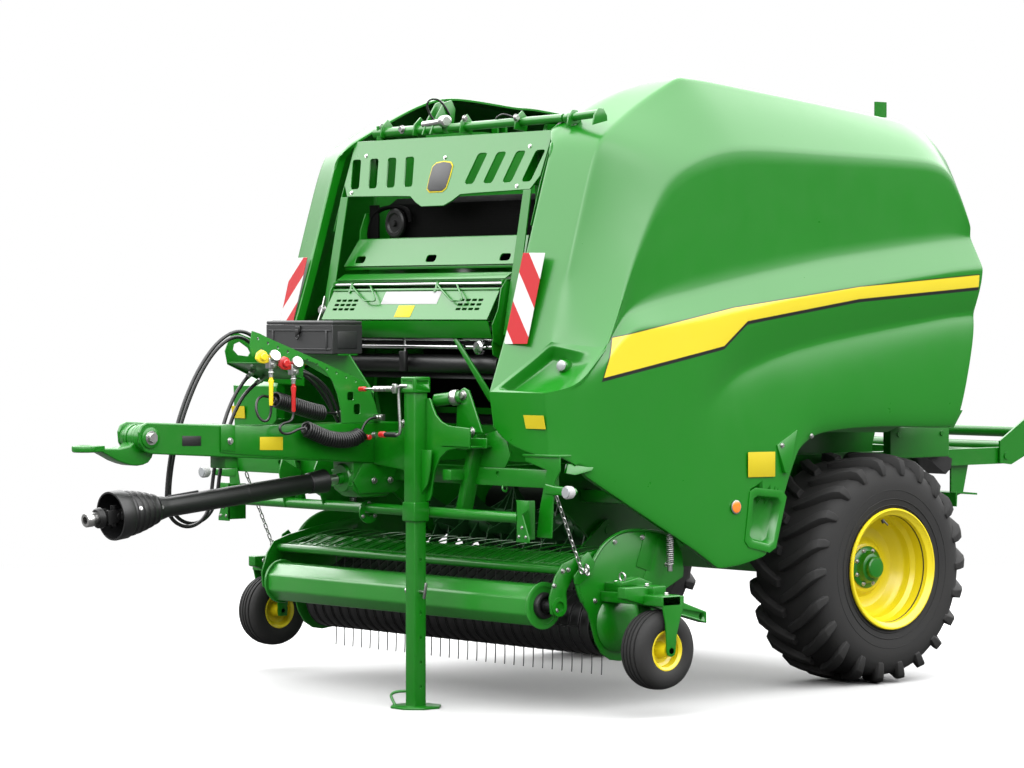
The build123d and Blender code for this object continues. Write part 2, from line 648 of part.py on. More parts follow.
SHELF_HALF = CHAMBER_HALF + 35
with BuildPart() as shelf_plate:
    with BuildSketch(side_view(-SHELF_HALF)):
        Polygon(
            (-1930, 1660), (-2000, 1525), (-2000, 1517), (-1992, 1517),
            (-1920, 1656), (-1860, 1656), (-1860, 1664), (-1930, 1664),
        )
    extrude(amount=2 * SHELF_HALF)
    with BuildSketch(top_view(1500)):
        with Locations((-200, -1975), (0, -1975), (200, -1975)):
            SlotOverall(70, 26)
    extrude(amount=110, mode=Mode.SUBTRACT)
pieces["shelf_plate"] = shelf_plate

NET_HALF = CHAMBER_HALF + 45
ROD_Y, ROD_Z, ROD = -2094, 1425, 8
with BuildPart() as net_box:
    with BuildSketch(side_view(-NET_HALF)):
        Polygon((-1868, 1250), (-1860, 1250), (-1860, 1445), (-2080, 1445), (-2080, 1439), (-1868, 1439))
        Polygon((-2130, 1240), (-1860, 1240), (-1860, 1250), (-2130, 1250))
    extrude(amount=2 * NET_HALF)
    for sign in SIDES.values():
        with BuildSketch(side_view(sign * (NET_HALF - 5) - 5)):
            Polygon((-1862, 1242), (-2128, 1242), (-2080, 1410), (-2106, 1415), (-2106, 1443), (-1862, 1443))
        extrude(amount=10)
    with BuildSketch(side_view(-NET_HALF)):
        with Locations((ROD_Y, ROD_Z)):
            Circle(ROD)
    extrude(amount=2 * NET_HALF)
pieces["net_box"] = net_box

with BuildPart() as net_cover:
    with BuildSketch(side_view(-NET_HALF + 15)):
        Polygon((-2114, 1428), (-2120, 1428), (-2158, 1248), (-2152, 1248))
    extrude(amount=2 * NET_HALF - 30)
    for place in (-450, 430):
        with BuildSketch(side_view(place)):
            with Locations((ROD_Y, ROD_Z)):
                Circle(ROD + 7)
            Polygon((-2116, 1428), (-2119, 1410), (ROD_Y - 6, 1412), (ROD_Y - 6, 1438))
            with Locations((ROD_Y, ROD_Z)):
                Circle(ROD + PIN_GAP, mode=Mode.SUBTRACT)
        extrude(amount=20)
pieces["net_cover"] = net_cover

with BuildPart() as guide_rods:
    for y, z in ((-2120, 1160), (-2120, 1122)):
        with BuildSketch(side_view(-CHAMBER_HALF - 15)):
            with Locations((y, z)):
                Circle(11)
        extrude(amount=2 * (CHAMBER_HALF + 15))
    for sign in SIDES.values():
        with BuildSketch(side_view(sign * (CHAMBER_HALF + 20) - 5)):
            Polygon((-2140, 1100), (-2140, 1180), (-1860, 1180), (-1860, 1000))
        extrude(amount=10)
pieces["guide_rods"] = guide_rods

# ---------------------------------------------------------------- toolbox and hose rack
BOX_LEFT, BOX_RIGHT = -750, -215
BOX_FRONT, BOX_REAR = -2450, -2265
BOX_BOTTOM, BOX_TOP = 1085, 1228
with BuildPart() as toolbox:
    with BuildSketch(top_view(BOX_BOTTOM)):
        with Locations(((BOX_LEFT + BOX_RIGHT) / 2, (BOX_FRONT + BOX_REAR) / 2)):
            Rectangle(BOX_RIGHT - BOX_LEFT, BOX_REAR - BOX_FRONT)
    extrude(amount=BOX_TOP - BOX_BOTTOM)
    with BuildSketch(top_view(BOX_BOTTOM + 6)):
        with Locations(((BOX_LEFT + BOX_RIGHT) / 2, (BOX_FRONT + BOX_REAR) / 2)):
            Rectangle(BOX_RIGHT - BOX_LEFT - 12, BOX_REAR - BOX_FRONT - 12)
    extrude(amount=BOX_TOP, mode=Mode.SUBTRACT)
pieces["toolbox"] = toolbox

with BuildPart() as toolbox_lid:
    with BuildSketch(top_view(BOX_TOP + PIN_GAP)):
        with Locations(((BOX_LEFT + BOX_RIGHT) / 2, (BOX_FRONT + BOX_REAR) / 2)):
            Rectangle(BOX_RIGHT - BOX_LEFT, BOX_REAR - BOX_FRONT)
    extrude(amount=20)
pieces["toolbox_lid"] = toolbox_lid

NEAR_PLATE_X, FAR_PLATE_X = 84, -250
RACK_PLATE = 6
with BuildPart() as hose_rack:
    # the plate on the drawbar's near side, cut away below
    with BuildSketch(side_view(NEAR_PLATE_X)):
        with BuildLine():
            Polyline(
                (-2872, 1067), (-3165, 1082), (-3177, 1134), (-3164, 1200), (-3070, 1167), (-2505, 960),
                (-2433, 860), (-2400, BEAM_TOP), (-2632, BEAM_TOP),
            )
            ThreePointArc((-2632, BEAM_TOP), (-2692, 965), (-2872, 1067))
        make_face()
    extrude(amount=RACK_PLATE)
    # the plate on the far side, with the plates between the two
    with BuildSketch(side_view(FAR_PLATE_X)):
        Polygon(
            (-3075, 1105), (-3025, 1198), (-2910, 1160), (-2600, 1040), (-2600, 930), (-2848, 956),
            (-2881, 966), (-3060, 1040),
        )
        with Locations(Location((-2985, 1105), -20)):
            SlotOverall(110, 60, mode=Mode.SUBTRACT)
    extrude(amount=RACK_PLATE)
    with BuildSketch(front_view(-2860)):
        with Locations(((NEAR_PLATE_X + FAR_PLATE_X) / 2, 1027)):
            Rectangle(NEAR_PLATE_X - FAR_PLATE_X, 114)
    extrude(amount=RACK_PLATE)
    with BuildSketch(side_view(FAR_PLATE_X)):
        Polygon((-3060, 1052), (-2864, 978), (-2864, 972), (-3060, 1046))
    extrude(amount=NEAR_PLATE_X - FAR_PLATE_X)
    # the sockets that the hoses end in
    for route in HOSES.values():
        for end, beside in (route[:2], route[:-3:-1]):
            origin = place_of(end)
            with BuildSketch(Plane(origin=origin, z_dir=origin - place_of(beside))):
                Circle(SOCKET_RADIUS)
            extrude(amount=45)
    # the toolbox's shelf and its arm from the beam
    with BuildSketch(front_view(-2345)):
        Polygon(
            (BOX_LEFT + 60, BOX_BOTTOM - 8), (BOX_LEFT + 60, BOX_BOTTOM), (BOX_RIGHT, BOX_BOTTOM),
            (-20, 900), (-20, BEAM_TOP), (-BEAM_HALF, BEAM_TOP), (-110, 880),
        )
    extrude(amount=8)
    with BuildSketch(top_view(BOX_BOTTOM - 8)):
        with Locations(((BOX_LEFT + BOX_RIGHT) / 2, -2355)):
            Rectangle(BOX_RIGHT - BOX_LEFT - 60, 120)
    extrude(amount=8)
pieces["hose_rack"] = hose_rack

# ---------------------------------------------------------------- hoses
for side, route in HOSES.items():
    pieces[f"hydraulic_hose_{side}"] = hose_tube(f"hydraulic_hose_{side}", route, HOSE_RADIUS)
for colour, (route, first, last) in AIR_HOSES.items():
    thin = hose_tube(f"air_hose_{colour}", route, AIR_RADIUS)
    fat = hose_tube(f"coil of air_hose_{colour}", route[first:last + 1], COIL_RADIUS)
    with BuildPart() as air_hose:
        add(thin.part)
        add(fat.part)
    pieces[f"air_hose_{colour}"] = air_hose

with BuildPart() as hose_couplings:
    for colour, (route, first, last) in AIR_HOSES.items():
        x, y, z = route[0]
        # the coupling head on the rack's plate and the sleeve below it
        head_inner, head_outer = NEAR_PLATE_X + RACK_PLATE, x + 20
        with BuildSketch(top_view(z + SLEEVE)):
            with Locations(((head_inner + head_outer) / 2, y)):
                Rectangle(head_outer - head_inner, 46)
        extrude(amount=COUPLING)
        with BuildSketch(top_view(z)):
            with Locations((x, y)):
                Circle(10)
        extrude(amount=SLEEVE)
        # the block that the coil's other end goes into
        x, y, z = route[-1]
        block_low, block_high = (x - 15, NEAR_PLATE_X) if x < NEAR_PLATE_X else (head_inner, x + 15)
        with BuildSketch(front_view(y + 35)):
            with Locations(((block_low + block_high) / 2, z)):
                Rectangle(block_high - block_low, 30)
        extrude(amount=35)
pieces["hose_couplings"] = hose_couplings

# ---------------------------------------------------------------- pickup
PICKUP_PLATE = (
    # side view: to the rear, up
    (-1800, -360), (-1690, -330), (-1600, -180), (-1540, -20), (-1380, 30), (-1400, 150),
    (-1454, 220), (-1560, 250), (-1660, 259), (-1809, 250), (-1915, 192), (-1977, 117),
    (-2075, 60), (-2060, -20), (-1990, -120), (-1960, -250), (-1900, -330),
)
TUBE_Y, TUBE_Z, TUBE = -1640, 52, 50
TUBE_FRONT, TUBE_REAR, TUBE_TOP = TUBE_Y - TUBE / 2, TUBE_Y + TUBE / 2, TUBE_Z + TUBE / 2
with BuildPart() as pickup_frame:
    with BuildSketch(side_view(-PICKUP_PLATE_X)):
        with Locations((TUBE_Y, TUBE_Z)):
            Rectangle(TUBE, TUBE)
    extrude(amount=2 * PICKUP_PLATE_X)
    for sign in SIDES.values():
        with BuildSketch(side_view(sign * (PICKUP_PLATE_X + PLATE / 2) - PLATE / 2)):
            Polygon(*PICKUP_PLATE)
        extrude(amount=PLATE)
        # the pin that the wind guard swings on
        with BuildSketch(side_view(sign * (GUARD_ARM_X + 12) - 20)):
            with Locations((GUARD_PIVOT_Y, GUARD_PIVOT_Z)):
                Circle(HINGE_PIN)
        extrude(amount=40)
pieces["pickup_frame"] = pickup_frame

with BuildPart() as pickup_arms:
    for sign in SIDES.values():
        with BuildSketch(side_view(sign * (RAIL_X + 22) - 8)):
            with Locations((PIVOT_Y, PIVOT_Z)):
                Circle(PIVOT_RADIUS + 25)
            Polygon(
                (TUBE_FRONT, TUBE_TOP), (TUBE_REAR, TUBE_TOP), (TUBE_REAR, TUBE_Z - TUBE / 2),
                (PIVOT_Y + 40, PIVOT_Z - 30), (PIVOT_Y - 40, PIVOT_Z + 32), (TUBE_FRONT, TUBE_TOP + 25),
            )
            with Locations((PIVOT_Y, PIVOT_Z)):
                Circle(PIVOT_RADIUS + PIN_GAP, mode=Mode.SUBTRACT)
        extrude(amount=16)
pieces["pickup_arms"] = pickup_arms

with BuildPart() as pickup_bands:
    for number in range(TINE_COUNT + 1):
        place = (number - TINE_COUNT / 2) * TINE_PITCH
        with BuildSketch(side_view(place - (TINE_PITCH - BAND_GAP) / 2)):
            with Locations((REEL_Y, REEL_Z)):
                Circle(BAND_OUTER)
                Circle(BAND_OUTER - BAND_WALL, mode=Mode.SUBTRACT)
            with Locations((REEL_Y + BAND_OUTER, REEL_Z)):
                Rectangle(2 * BAND_OUTER, 2 * BAND_OUTER + 20, mode=Mode.SUBTRACT)
            Polygon(
                (REEL_Y - 1, REEL_Z + BAND_OUTER), (REEL_Y - 1, REEL_Z + BAND_OUTER - BAND_WALL),
                (TUBE_FRONT, TUBE_Z - 20), (TUBE_FRONT, TUBE_Z - 10),
            )
        extrude(amount=TINE_PITCH - BAND_GAP)
pieces["pickup_bands"] = pickup_bands

REEL_HALF = PICKUP_PLATE_X - 40
with BuildPart() as pickup_reel:
    with BuildSketch(side_view(-PICKUP_PLATE_X + PIN_GAP)):
        with Locations((REEL_Y, REEL_Z)):
            Circle(20)
    extrude(amount=2 * (PICKUP_PLATE_X - PIN_GAP))
    with BuildSketch(side_view(-REEL_HALF)):
        with Locations((REEL_Y, REEL_Z)):
            Circle(40)
            with PolarLocations(REEL_BAR, 4):
                Circle(15)
    extrude(amount=2 * REEL_HALF)
    for start in (-REEL_HALF, REEL_HALF - 8):
        with BuildSketch(side_view(start)):
            with Locations((REEL_Y, REEL_Z)):
                Circle(REEL_BAR + 30)
        extrude(amount=8)
    for number in range(TINE_COUNT):
        place = (number + 0.5 - TINE_COUNT / 2) * TINE_PITCH
        with BuildSketch(side_view(place - TINE_WIRE / 2)):
            with Locations((REEL_Y, REEL_Z)):
                for turn in range(0, 360, 90):
                    with Locations(Location((0, 0), turn)):
                        with Locations(((REEL_BAR + TINE_RADIUS) / 2, 0)):
                            Rectangle(TINE_RADIUS - REEL_BAR, TINE_WIRE)
        extrude(amount=TINE_WIRE)
pieces["pickup_reel"] = pickup_reel

with BuildPart() as guard_arms:
    for sign in SIDES.values():
        with BuildSketch(side_view(sign * (GUARD_ARM_X + 6) - 6)):
            Polygon(
                (GUARD_PIVOT_Y + 20, GUARD_PIVOT_Z - 22), (GUARD_PIVOT_Y + 20, GUARD_PIVOT_Z + 22),
                (GUARD_PIVOT_Y - 60, GUARD_PIVOT_Z + 22), (GUARD_PIPE_Y - 35, GUARD_PIPE_Z + 35),
                (ROLLER_Y - 50, ROLLER_Z + 40), (ROLLER_Y - 45, ROLLER_Z - 45), (ROLLER_Y + 40, ROLLER_Z - 45),
                (GUARD_PIPE_Y + 30, GUARD_PIPE_Z - 30),
            )
            with Locations((GUARD_PIVOT_Y, GUARD_PIVOT_Z)):
                Circle(HINGE_PIN + PIN_GAP, mode=Mode.SUBTRACT)
            with Locations((ROLLER_Y, ROLLER_Z)):
                Circle(ROLLER_SHAFT + PIN_GAP, mode=Mode.SUBTRACT)
        extrude(amount=12)
pieces["guard_arms"] = guard_arms

STRIP_PITCH = 106
with BuildPart() as wind_guard:
    for y, z, radius in ((GUARD_PIPE_Y, GUARD_PIPE_Z, 21), (GUARD_PIPE_Y + 90, GUARD_PIPE_Z + 12, 14)):
        with BuildSketch(side_view(-GUARD_ARM_X)):
            with Locations((y, z)):
                Circle(radius)
        extrude(amount=2 * GUARD_ARM_X)
    strip_count = int(GUARD_ARM_X / STRIP_PITCH)  # on each side of the middle one
    for number in range(-strip_count, strip_count + 1):
        with BuildSketch(side_view(number * STRIP_PITCH - 4)):
            Polygon(
                (GUARD_PIPE_Y, GUARD_PIPE_Z), (GUARD_PIPE_Y, GUARD_PIPE_Z + 10),
                (GUARD_PIPE_Y + 390, GUARD_PIPE_Z + 20), (GUARD_PIPE_Y + 390, GUARD_PIPE_Z + 12),
            )
        extrude(amount=8)
pieces["wind_guard"] = wind_guard

with BuildPart() as crop_roller:
    with BuildSketch(side_view(-ROLLER_HALF)):
        with Locations((ROLLER_Y, ROLLER_Z)):
            RegularPolygon(ROLLER_RADIUS - 4, 8)
            Circle(ROLLER_RADIUS - 18, mode=Mode.SUBTRACT)
    extrude(amount=2 * ROLLER_HALF)
    for start in (-ROLLER_HALF - 8, ROLLER_HALF):
        with BuildSketch(side_view(start)):
            with Locations((ROLLER_Y, ROLLER_Z)):
                Circle(ROLLER_RADIUS)
                Circle(ROLLER_RADIUS - 18, mode=Mode.SUBTRACT)
        extrude(amount=8)
    # the spokes that carry the tube on its shaft
    for start in (-ROLLER_HALF + 40, ROLLER_HALF - 60):
        with BuildSketch(side_view(start)):
            with Locations((ROLLER_Y, ROLLER_Z)):
                Rectangle(2 * (ROLLER_RADIUS - 16), 60)
                Rectangle(60, 2 * (ROLLER_RADIUS - 16))
        extrude(amount=20)
    with BuildSketch(side_view(-GUARD_ARM_X - 10)):
        with Locations((ROLLER_Y, ROLLER_Z)):
            Circle(ROLLER_SHAFT)
    extrude(amount=2 * GUARD_ARM_X + 20)
pieces["crop_roller"] = crop_roller

# ---------------------------------------------------------------- gauge wheels
LEG = 10
LEG_GAP = 10
half = GAUGE_WIDTH / 2
bore = GAUGE_AXLE + RUNNING_GAP
GAUGE_TYRE_PROFILE = (
    # from the wheel's middle, from its axle
    (-half + 20, GAUGE_RIM), (-half, GAUGE_RIM + 30), (-half + 4, GAUGE_RADIUS - 30),
    (-half + 25, GAUGE_RADIUS - 5), (0, GAUGE_RADIUS), (half - 25, GAUGE_RADIUS - 5),
    (half - 4, GAUGE_RADIUS - 30), (half, GAUGE_RIM + 30), (half - 20, GAUGE_RIM),
)
GAUGE_RIM_PROFILE = (
    (-half + 8, GAUGE_RIM), (half - 8, GAUGE_RIM), (half - 8, GAUGE_RIM - 8), (10, GAUGE_RIM - 12),
    (10, 34), (half, 30), (half, bore), (-half, bore), (-half, 30), (-10, 34),
    (-10, GAUGE_RIM - 12), (-half + 8, GAUGE_RIM - 8),
)
for side, sign in SIDES.items():
    inner_leg = GAUGE_X - GAUGE_WIDTH / 2 - LEG_GAP - LEG
    outer_leg = GAUGE_X + GAUGE_WIDTH / 2 + LEG_GAP
    bracket_low = GAUGE_Z + GAUGE_RADIUS + 20
    with BuildPart() as gauge_bracket:
        with BuildSketch(top_view(bracket_low)):
            with Locations((sign * (PICKUP_PLATE_X + PLATE + outer_leg + LEG) / 2, GAUGE_Y)):
                Rectangle(outer_leg + LEG - PICKUP_PLATE_X - PLATE, 120)
        extrude(amount=50)
        with BuildSketch(top_view(bracket_low + 50)):
            with Locations((sign * (PICKUP_PLATE_X + PLATE + outer_leg - 80) / 2, GAUGE_Y + 10)):
                Rectangle(outer_leg - 80 - PICKUP_PLATE_X - PLATE, 90)
        extrude(amount=40)
        for leg in (inner_leg, outer_leg):
            with BuildSketch(side_view(sign * (leg + LEG / 2) - LEG / 2)):
                Polygon(
                    (GAUGE_Y - 45, bracket_low + 10), (GAUGE_Y - 28, GAUGE_Z - 28), (GAUGE_Y + 28, GAUGE_Z - 28),
                    (GAUGE_Y + 45, bracket_low + 10),
                )
            extrude(amount=LEG)
        axle_length = outer_leg + LEG - inner_leg
        with BuildSketch(side_view(sign * (inner_leg + axle_length / 2) - axle_length / 2)):
            with Locations((GAUGE_Y, GAUGE_Z)):
                Circle(GAUGE_AXLE)
        extrude(amount=axle_length)
        # the square arm that runs to the rear
        with BuildSketch(side_view(sign * (GAUGE_X - 56) - 28)):
            Polygon((-2046, 22), (-2046, -30), (-1524, -170), (-1524, -115), (-1925, 22))
        extrude(amount=56)
    pieces[f"gauge_bracket_{side}"] = gauge_bracket

    with BuildPart() as gauge_tyre:
        with BuildSketch(front_view(GAUGE_Y)):
            Polygon(*[(sign * (GAUGE_X + x), GAUGE_Z + r) for x, r in GAUGE_TYRE_PROFILE])
        revolve(axis=Axis((0, AXLE_Y + GAUGE_Y, AXLE_Z + GAUGE_Z), (1, 0, 0)))
    pieces[f"gauge_tyre_{side}"] = gauge_tyre

    with BuildPart() as gauge_rim:
        with BuildSketch(front_view(GAUGE_Y)):
            Polygon(*[(sign * (GAUGE_X + x), GAUGE_Z + r) for x, r in GAUGE_RIM_PROFILE])
        revolve(axis=Axis((0, AXLE_Y + GAUGE_Y, AXLE_Z + GAUGE_Z), (1, 0, 0)))
    pieces[f"gauge_rim_{side}"] = gauge_rim

# ---------------------------------------------------------------- hangers, chains, springs
HANGER_Y, HANGER_Z = -1560, 400
with BuildPart() as pickup_hangers:
    for sign in SIDES.values():
        length = PICKUP_PLATE_X + 85 - RAIL_X
        with BuildSketch(side_view(sign * (RAIL_X + length / 2) - length / 2)):
            with Locations((HANGER_Y, HANGER_Z)):
                Rectangle(60, 60)
        extrude(amount=length)
        # the coil spring that takes the pickup's weight
        with BuildSketch(top_view(62)):
            with Locations((sign * (PICKUP_PLATE_X + 55), HANGER_Y)):
                Circle(22)
        extrude(amount=HANGER_Z - 30 - 62)
pieces["pickup_hangers"] = pickup_hangers

CHAIN_TOP, CHAIN_END = (-2255, 475), (-2085, 95)
LINK, LINK_WIDTH, LINK_WIRE = 40, 22, 6
LINK_PITCH = LINK - 2 * LINK_WIRE + 1  # each link bites into the next
with BuildPart() as lift_chains:
    for sign in SIDES.values():
        chain_plane, chain_length = along((CHAIN_TOP, CHAIN_END), sign * (CROSS_HALF + 14))
        down = chain_plane.z_dir
        for number in range(int(chain_length / LINK_PITCH)):
            across = chain_plane.x_dir if number % 2 else chain_plane.y_dir
            corner = chain_plane.origin + down * (number * LINK_PITCH + LINK / 2) - across * LINK_WIRE / 2
            with BuildSketch(Plane(origin=corner, x_dir=down, z_dir=across)) as link:
                Rectangle(LINK, LINK_WIDTH)
                chamfer(link.vertices(), LINK_WIRE)
                Rectangle(LINK - 2 * LINK_WIRE, LINK_WIDTH - 2 * LINK_WIRE, mode=Mode.SUBTRACT)
            extrude(amount=LINK_WIRE)
        with BuildSketch(side_view(sign * (CROSS_HALF + 10) - 10)):
            Polygon((-2290, 500), (-2250, 500), (-2245, 455), (-2262, 455))
        extrude(amount=20)
pieces["lift_chains"] = lift_chains

LAMP_X, LAMP_Z, LAMP_RADIUS = CROSS_HALF + 246, 469, 42
with BuildPart() as front_lamps:
    for sign in SIDES.values():
        # the arm, swept outwards, forward and down
        with BuildSketch(side_view(sign * CROSS_HALF)):
            Polygon((-2300, 508), (-2300, 552), (-2255, 552), (-2255, 508))
        with BuildSketch(side_view(sign * (LAMP_X + 20))):
            Polygon((-2345, 449), (-2345, 489), (-2325, 489), (-2325, 449))
        loft(ruled=True)
        with BuildSketch(front_view(-2340)):
            with Locations((sign * LAMP_X, LAMP_Z)):
                Circle(LAMP_RADIUS)
        extrude(amount=40)
pieces["front_lamps"] = front_lamps

# ---------------------------------------------------------------- side hoods
HOOD_SECTIONS = {
    # distance out from the hood's inner edge: side view outline, front foot first, over the top, to the rear foot
    135: ((-2300, -80), (-2341, 917), (-2298, 1107), (-2121, 1566), (-1936, 2130),
          (-1182, 2425), (347, 2265), (499, 2219), (652, 2080), (600, -80)),
    305: ((-2051, -80), (-2051, 1008), (-2051, 1204), (-2025, 1532), (-1944, 2097),
          (-1182, 2425), (347, 2265), (499, 2219), (652, 2080), (600, -80)),
    510: ((-1923, -80), (-1923, 1024), (-1847, 1266), (-1725, 1561), (-1544, 1890),
          (-1109, 2068), (377, 2052), (549, 1924), (642, 1695), (600, -80)),
    585: ((-2002, -80), (-2002, 983), (-2002, 1182), (-1900, 1195), (-1600, 1232),
          (-1100, 1306), (300, 1482), (500, 1503), (601, 1516), (600, -80)),
}


def roof_height(y):
    """The height of the roof's outside, on the long straight that falls to the rear."""
    (y0, z0), (y1, z1) = HOOD_SECTIONS[305][5:7]
    return z0 + (y - y0) * (z1 - z0) / (y1 - y0)


HOOD_CORNER = ((-2330, -80), (-2375, 640), (-2341, 917), (-2300, 1050), (-1960, 1050), (-1960, -80))
HOOD_CORNER_OUT = HOOD_INNER + 560
HOOD_EDGE = (
    # the lower edge with the wheel arch, front to rear
    (-2500, 619), (-2243, 609), (-2112, 538), (-2000, 495), (-1745, 370), (-1485, 208), (-1320, 106),
    (-1167, 60), (-881, 159), (-743, 422), (-674, 591), (-520, 734), (-177, 802), (416, 817), (700, 840),
)


def hood_body(inset):
    """The hood's whole outside, or its inside when it is inset by the wall."""
    inner_end = HOOD_INNER if inset == 0 else HOOD_INNER - 60
    with BuildPart() as body:
        for out, outline in HOOD_SECTIONS.items():
            with BuildSketch(side_view(HOOD_INNER + out - (inset if out > 400 else 0))):
                Polygon(*outline)
                if inset:
                    offset(amount=-inset, kind=Kind.INTERSECTION)
        loft(ruled=True)
        with BuildSketch(side_view(inner_end)):
            Polygon(*HOOD_SECTIONS[135])
            if inset:
                offset(amount=-inset, kind=Kind.INTERSECTION)
        extrude(amount=HOOD_INNER + 135 - inner_end)
        with BuildSketch(side_view(inner_end)):
            Polygon(*HOOD_CORNER)
            if inset:
                offset(amount=-inset, kind=Kind.INTERSECTION)
        extrude(amount=HOOD_CORNER_OUT - inset - inner_end)
    return body.part


hood_outside = hood_body(0)
hood_inside = hood_body(HOOD_WALL)
with BuildPart() as hood_left:
    add(hood_outside)
    add(hood_inside, mode=Mode.SUBTRACT)
    # the open bottom with the wheel arch
    with BuildSketch(side_view(HOOD_INNER - 50)):
        Polygon(*HOOD_EDGE, (700, -300), (-2500, -300))
    extrude(amount=800, mode=Mode.SUBTRACT)
    # the front opening between the hoods
    with BuildSketch(top_view(-200)):
        with Locations((HOOD_INNER + 35, -2200)):
            Rectangle(250, 800)
    extrude(amount=3000, mode=Mode.SUBTRACT)
    for place in HOOD_HINGES:
        with BuildSketch(front_view(place + 18)):
            with Locations((HOOD_HINGE_X, HOOD_HINGE_Z)):
                Circle(24)
            web_top = roof_height(place) - HOOD_WALL / 2
            Polygon(
                (HOOD_HINGE_X - 6, HOOD_HINGE_Z + 20), (HOOD_HINGE_X + 20, HOOD_HINGE_Z),
                (HOOD_INNER + 95, web_top), (HOOD_INNER + 25, web_top),
            )
            with Locations((HOOD_HINGE_X, HOOD_HINGE_Z)):
                Circle(HINGE_PIN + PIN_GAP, mode=Mode.SUBTRACT)
        extrude(amount=36)
pieces["hood_left"] = hood_left

with BuildPart() as hood_right:
    mirror(hood_left.part, about=Plane.YZ)
pieces["hood_right"] = hood_right

with BuildPart() as hood_hinges:
    for sign in SIDES.values():
        for place in HOOD_HINGES:
            for start in (place + 35, place - 23):
                with BuildSketch(front_view(start)):
                    Polygon(
                        (sign * RAIL_X, 2120), (sign * RAIL_X, 2290), (sign * (HOOD_HINGE_X + 16), 2290),
                        (sign * (HOOD_HINGE_X + 16), 2250), (sign * (RAIL_X + 12), 2120),
                    )
                extrude(amount=12)
            with BuildSketch(front_view(place + 35)):
                with Locations((sign * HOOD_HINGE_X, HOOD_HINGE_Z)):
                    Circle(HINGE_PIN)
            extrude(amount=70)
pieces["hood_hinges"] = hood_hinges

# ---------------------------------------------------------------- bale ramp
with BuildPart() as bale_ramp:
    for sign in SIDES.values():
        with BuildSketch(side_view(sign * (RAIL_X + RAIL_WIDTH + 12) - 6)):
            Polygon((1380, 480), (1380, 600), (1700, 780), (1700, 560), (1470, 470))
            with Locations((RAMP_Y, RAMP_Z)):
                Circle(RAMP_PIN + PIN_GAP, mode=Mode.SUBTRACT)
        extrude(amount=12)
    with BuildSketch(side_view(-RAIL_X - RAIL_WIDTH - 6)):
        with Locations((1650, 640), (1570, 560)):
            Circle(30)
    extrude(amount=2 * (RAIL_X + RAIL_WIDTH + 6))
pieces["bale_ramp"] = bale_ramp

with BuildPart() as rear_camera:
    with BuildSketch(side_view(RAIL_X)):
        Polygon(
            (440, 1880), (490, 1880), (530, 2000), (530, 2310), (560, 2310), (560, 2390), (480, 2390),
            (480, 2310), (500, 2310), (500, 2000),
        )
    extrude(amount=14)
pieces["rear_camera"] = rear_camera

# ---------------------------------------------------------------- files
os.makedirs("parts", exist_ok=True)
for name, piece in pieces.items():
    piece.part.label = name
    export_step(piece.part, f"parts/{name}.step")
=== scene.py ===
"""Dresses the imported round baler: its panels, wheels, pickup, drawbar, hoses, finishes, camera and lights."""

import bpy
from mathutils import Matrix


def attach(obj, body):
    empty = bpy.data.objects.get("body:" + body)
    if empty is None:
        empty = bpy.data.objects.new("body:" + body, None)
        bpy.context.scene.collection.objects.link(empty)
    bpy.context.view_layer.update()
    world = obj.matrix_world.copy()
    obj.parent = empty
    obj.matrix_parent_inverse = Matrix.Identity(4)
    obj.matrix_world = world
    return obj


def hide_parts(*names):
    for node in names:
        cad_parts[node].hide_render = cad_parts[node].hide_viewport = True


bl_info = {
    "name": "Round Baler",
    "version": (1, 0, 0),
    "blender": (4, 5, 0),
    "location": "3D View > Sidebar > Round Baler",
    "description": "Models the visible pieces of a towed round baler around its packed frame",
    "category": "Object",
}

from math import cos, hypot, radians, sin, tau

import bpy
from mathutils import Matrix, Vector

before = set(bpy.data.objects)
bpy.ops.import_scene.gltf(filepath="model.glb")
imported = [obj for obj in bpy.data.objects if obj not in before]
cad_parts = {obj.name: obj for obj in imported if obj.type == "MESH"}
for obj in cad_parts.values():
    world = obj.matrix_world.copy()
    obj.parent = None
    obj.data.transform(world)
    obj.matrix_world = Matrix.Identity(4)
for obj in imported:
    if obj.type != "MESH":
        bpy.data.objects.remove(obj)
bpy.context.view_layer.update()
AXLE = Vector((0.0, 1.2, 0.58))  # the main axle's centre; the tables below count from it, in millimetres
SIDES = {"left": 1, "right": -1}
ACROSS = Matrix.Scale(-1, 4, (1, 0, 0))  # turns a left piece into a right one


# ---------------------------------------------------------------- modelling tools
def place(x, y, z):
    """A place given in millimetres from the axle's centre: left, to the rear, up."""
    return AXLE + Vector((x, y, z)) / 1000


def active():
    return bpy.context.view_layer.objects.active


def clear():
    """Nothing stays selected, so the next operator reaches only its own piece."""
    bpy.ops.object.select_all(action="DESELECT")


def pick(*pieces):
    clear()
    for piece in pieces:
        piece.select_set(True)
    bpy.context.view_layer.objects.active = pieces[0]


def edit(piece, *steps):
    """Runs edit-mode steps on all of a piece: each step is an operator with its settings."""
    pick(piece)
    bpy.ops.object.mode_set(mode="EDIT")
    bpy.ops.mesh.select_all(action="SELECT")
    for operator, settings in steps:
        operator(**settings)
    bpy.ops.object.mode_set(mode="OBJECT")


def tidy(piece, merge=0.00002):
    """Merges doubles and turns all faces outwards."""
    edit(piece, (bpy.ops.mesh.remove_doubles, {"threshold": merge}),
         (bpy.ops.mesh.normals_make_consistent, {"inside": False}))
    return piece


def settle(piece):
    """Moves a piece's place and turn into its mesh."""
    pick(piece)
    bpy.ops.object.transform_apply(location=True, rotation=True, scale=True)
    return piece


def modify(piece, kind, **settings):
    """Adds a modifier and applies it."""
    pick(piece)
    bpy.ops.object.modifier_add(type=kind)
    modifier = piece.modifiers[-1]
    for key, value in settings.items():
        setattr(modifier, key, value)
    bpy.ops.object.modifier_apply(modifier=modifier.name)
    return piece


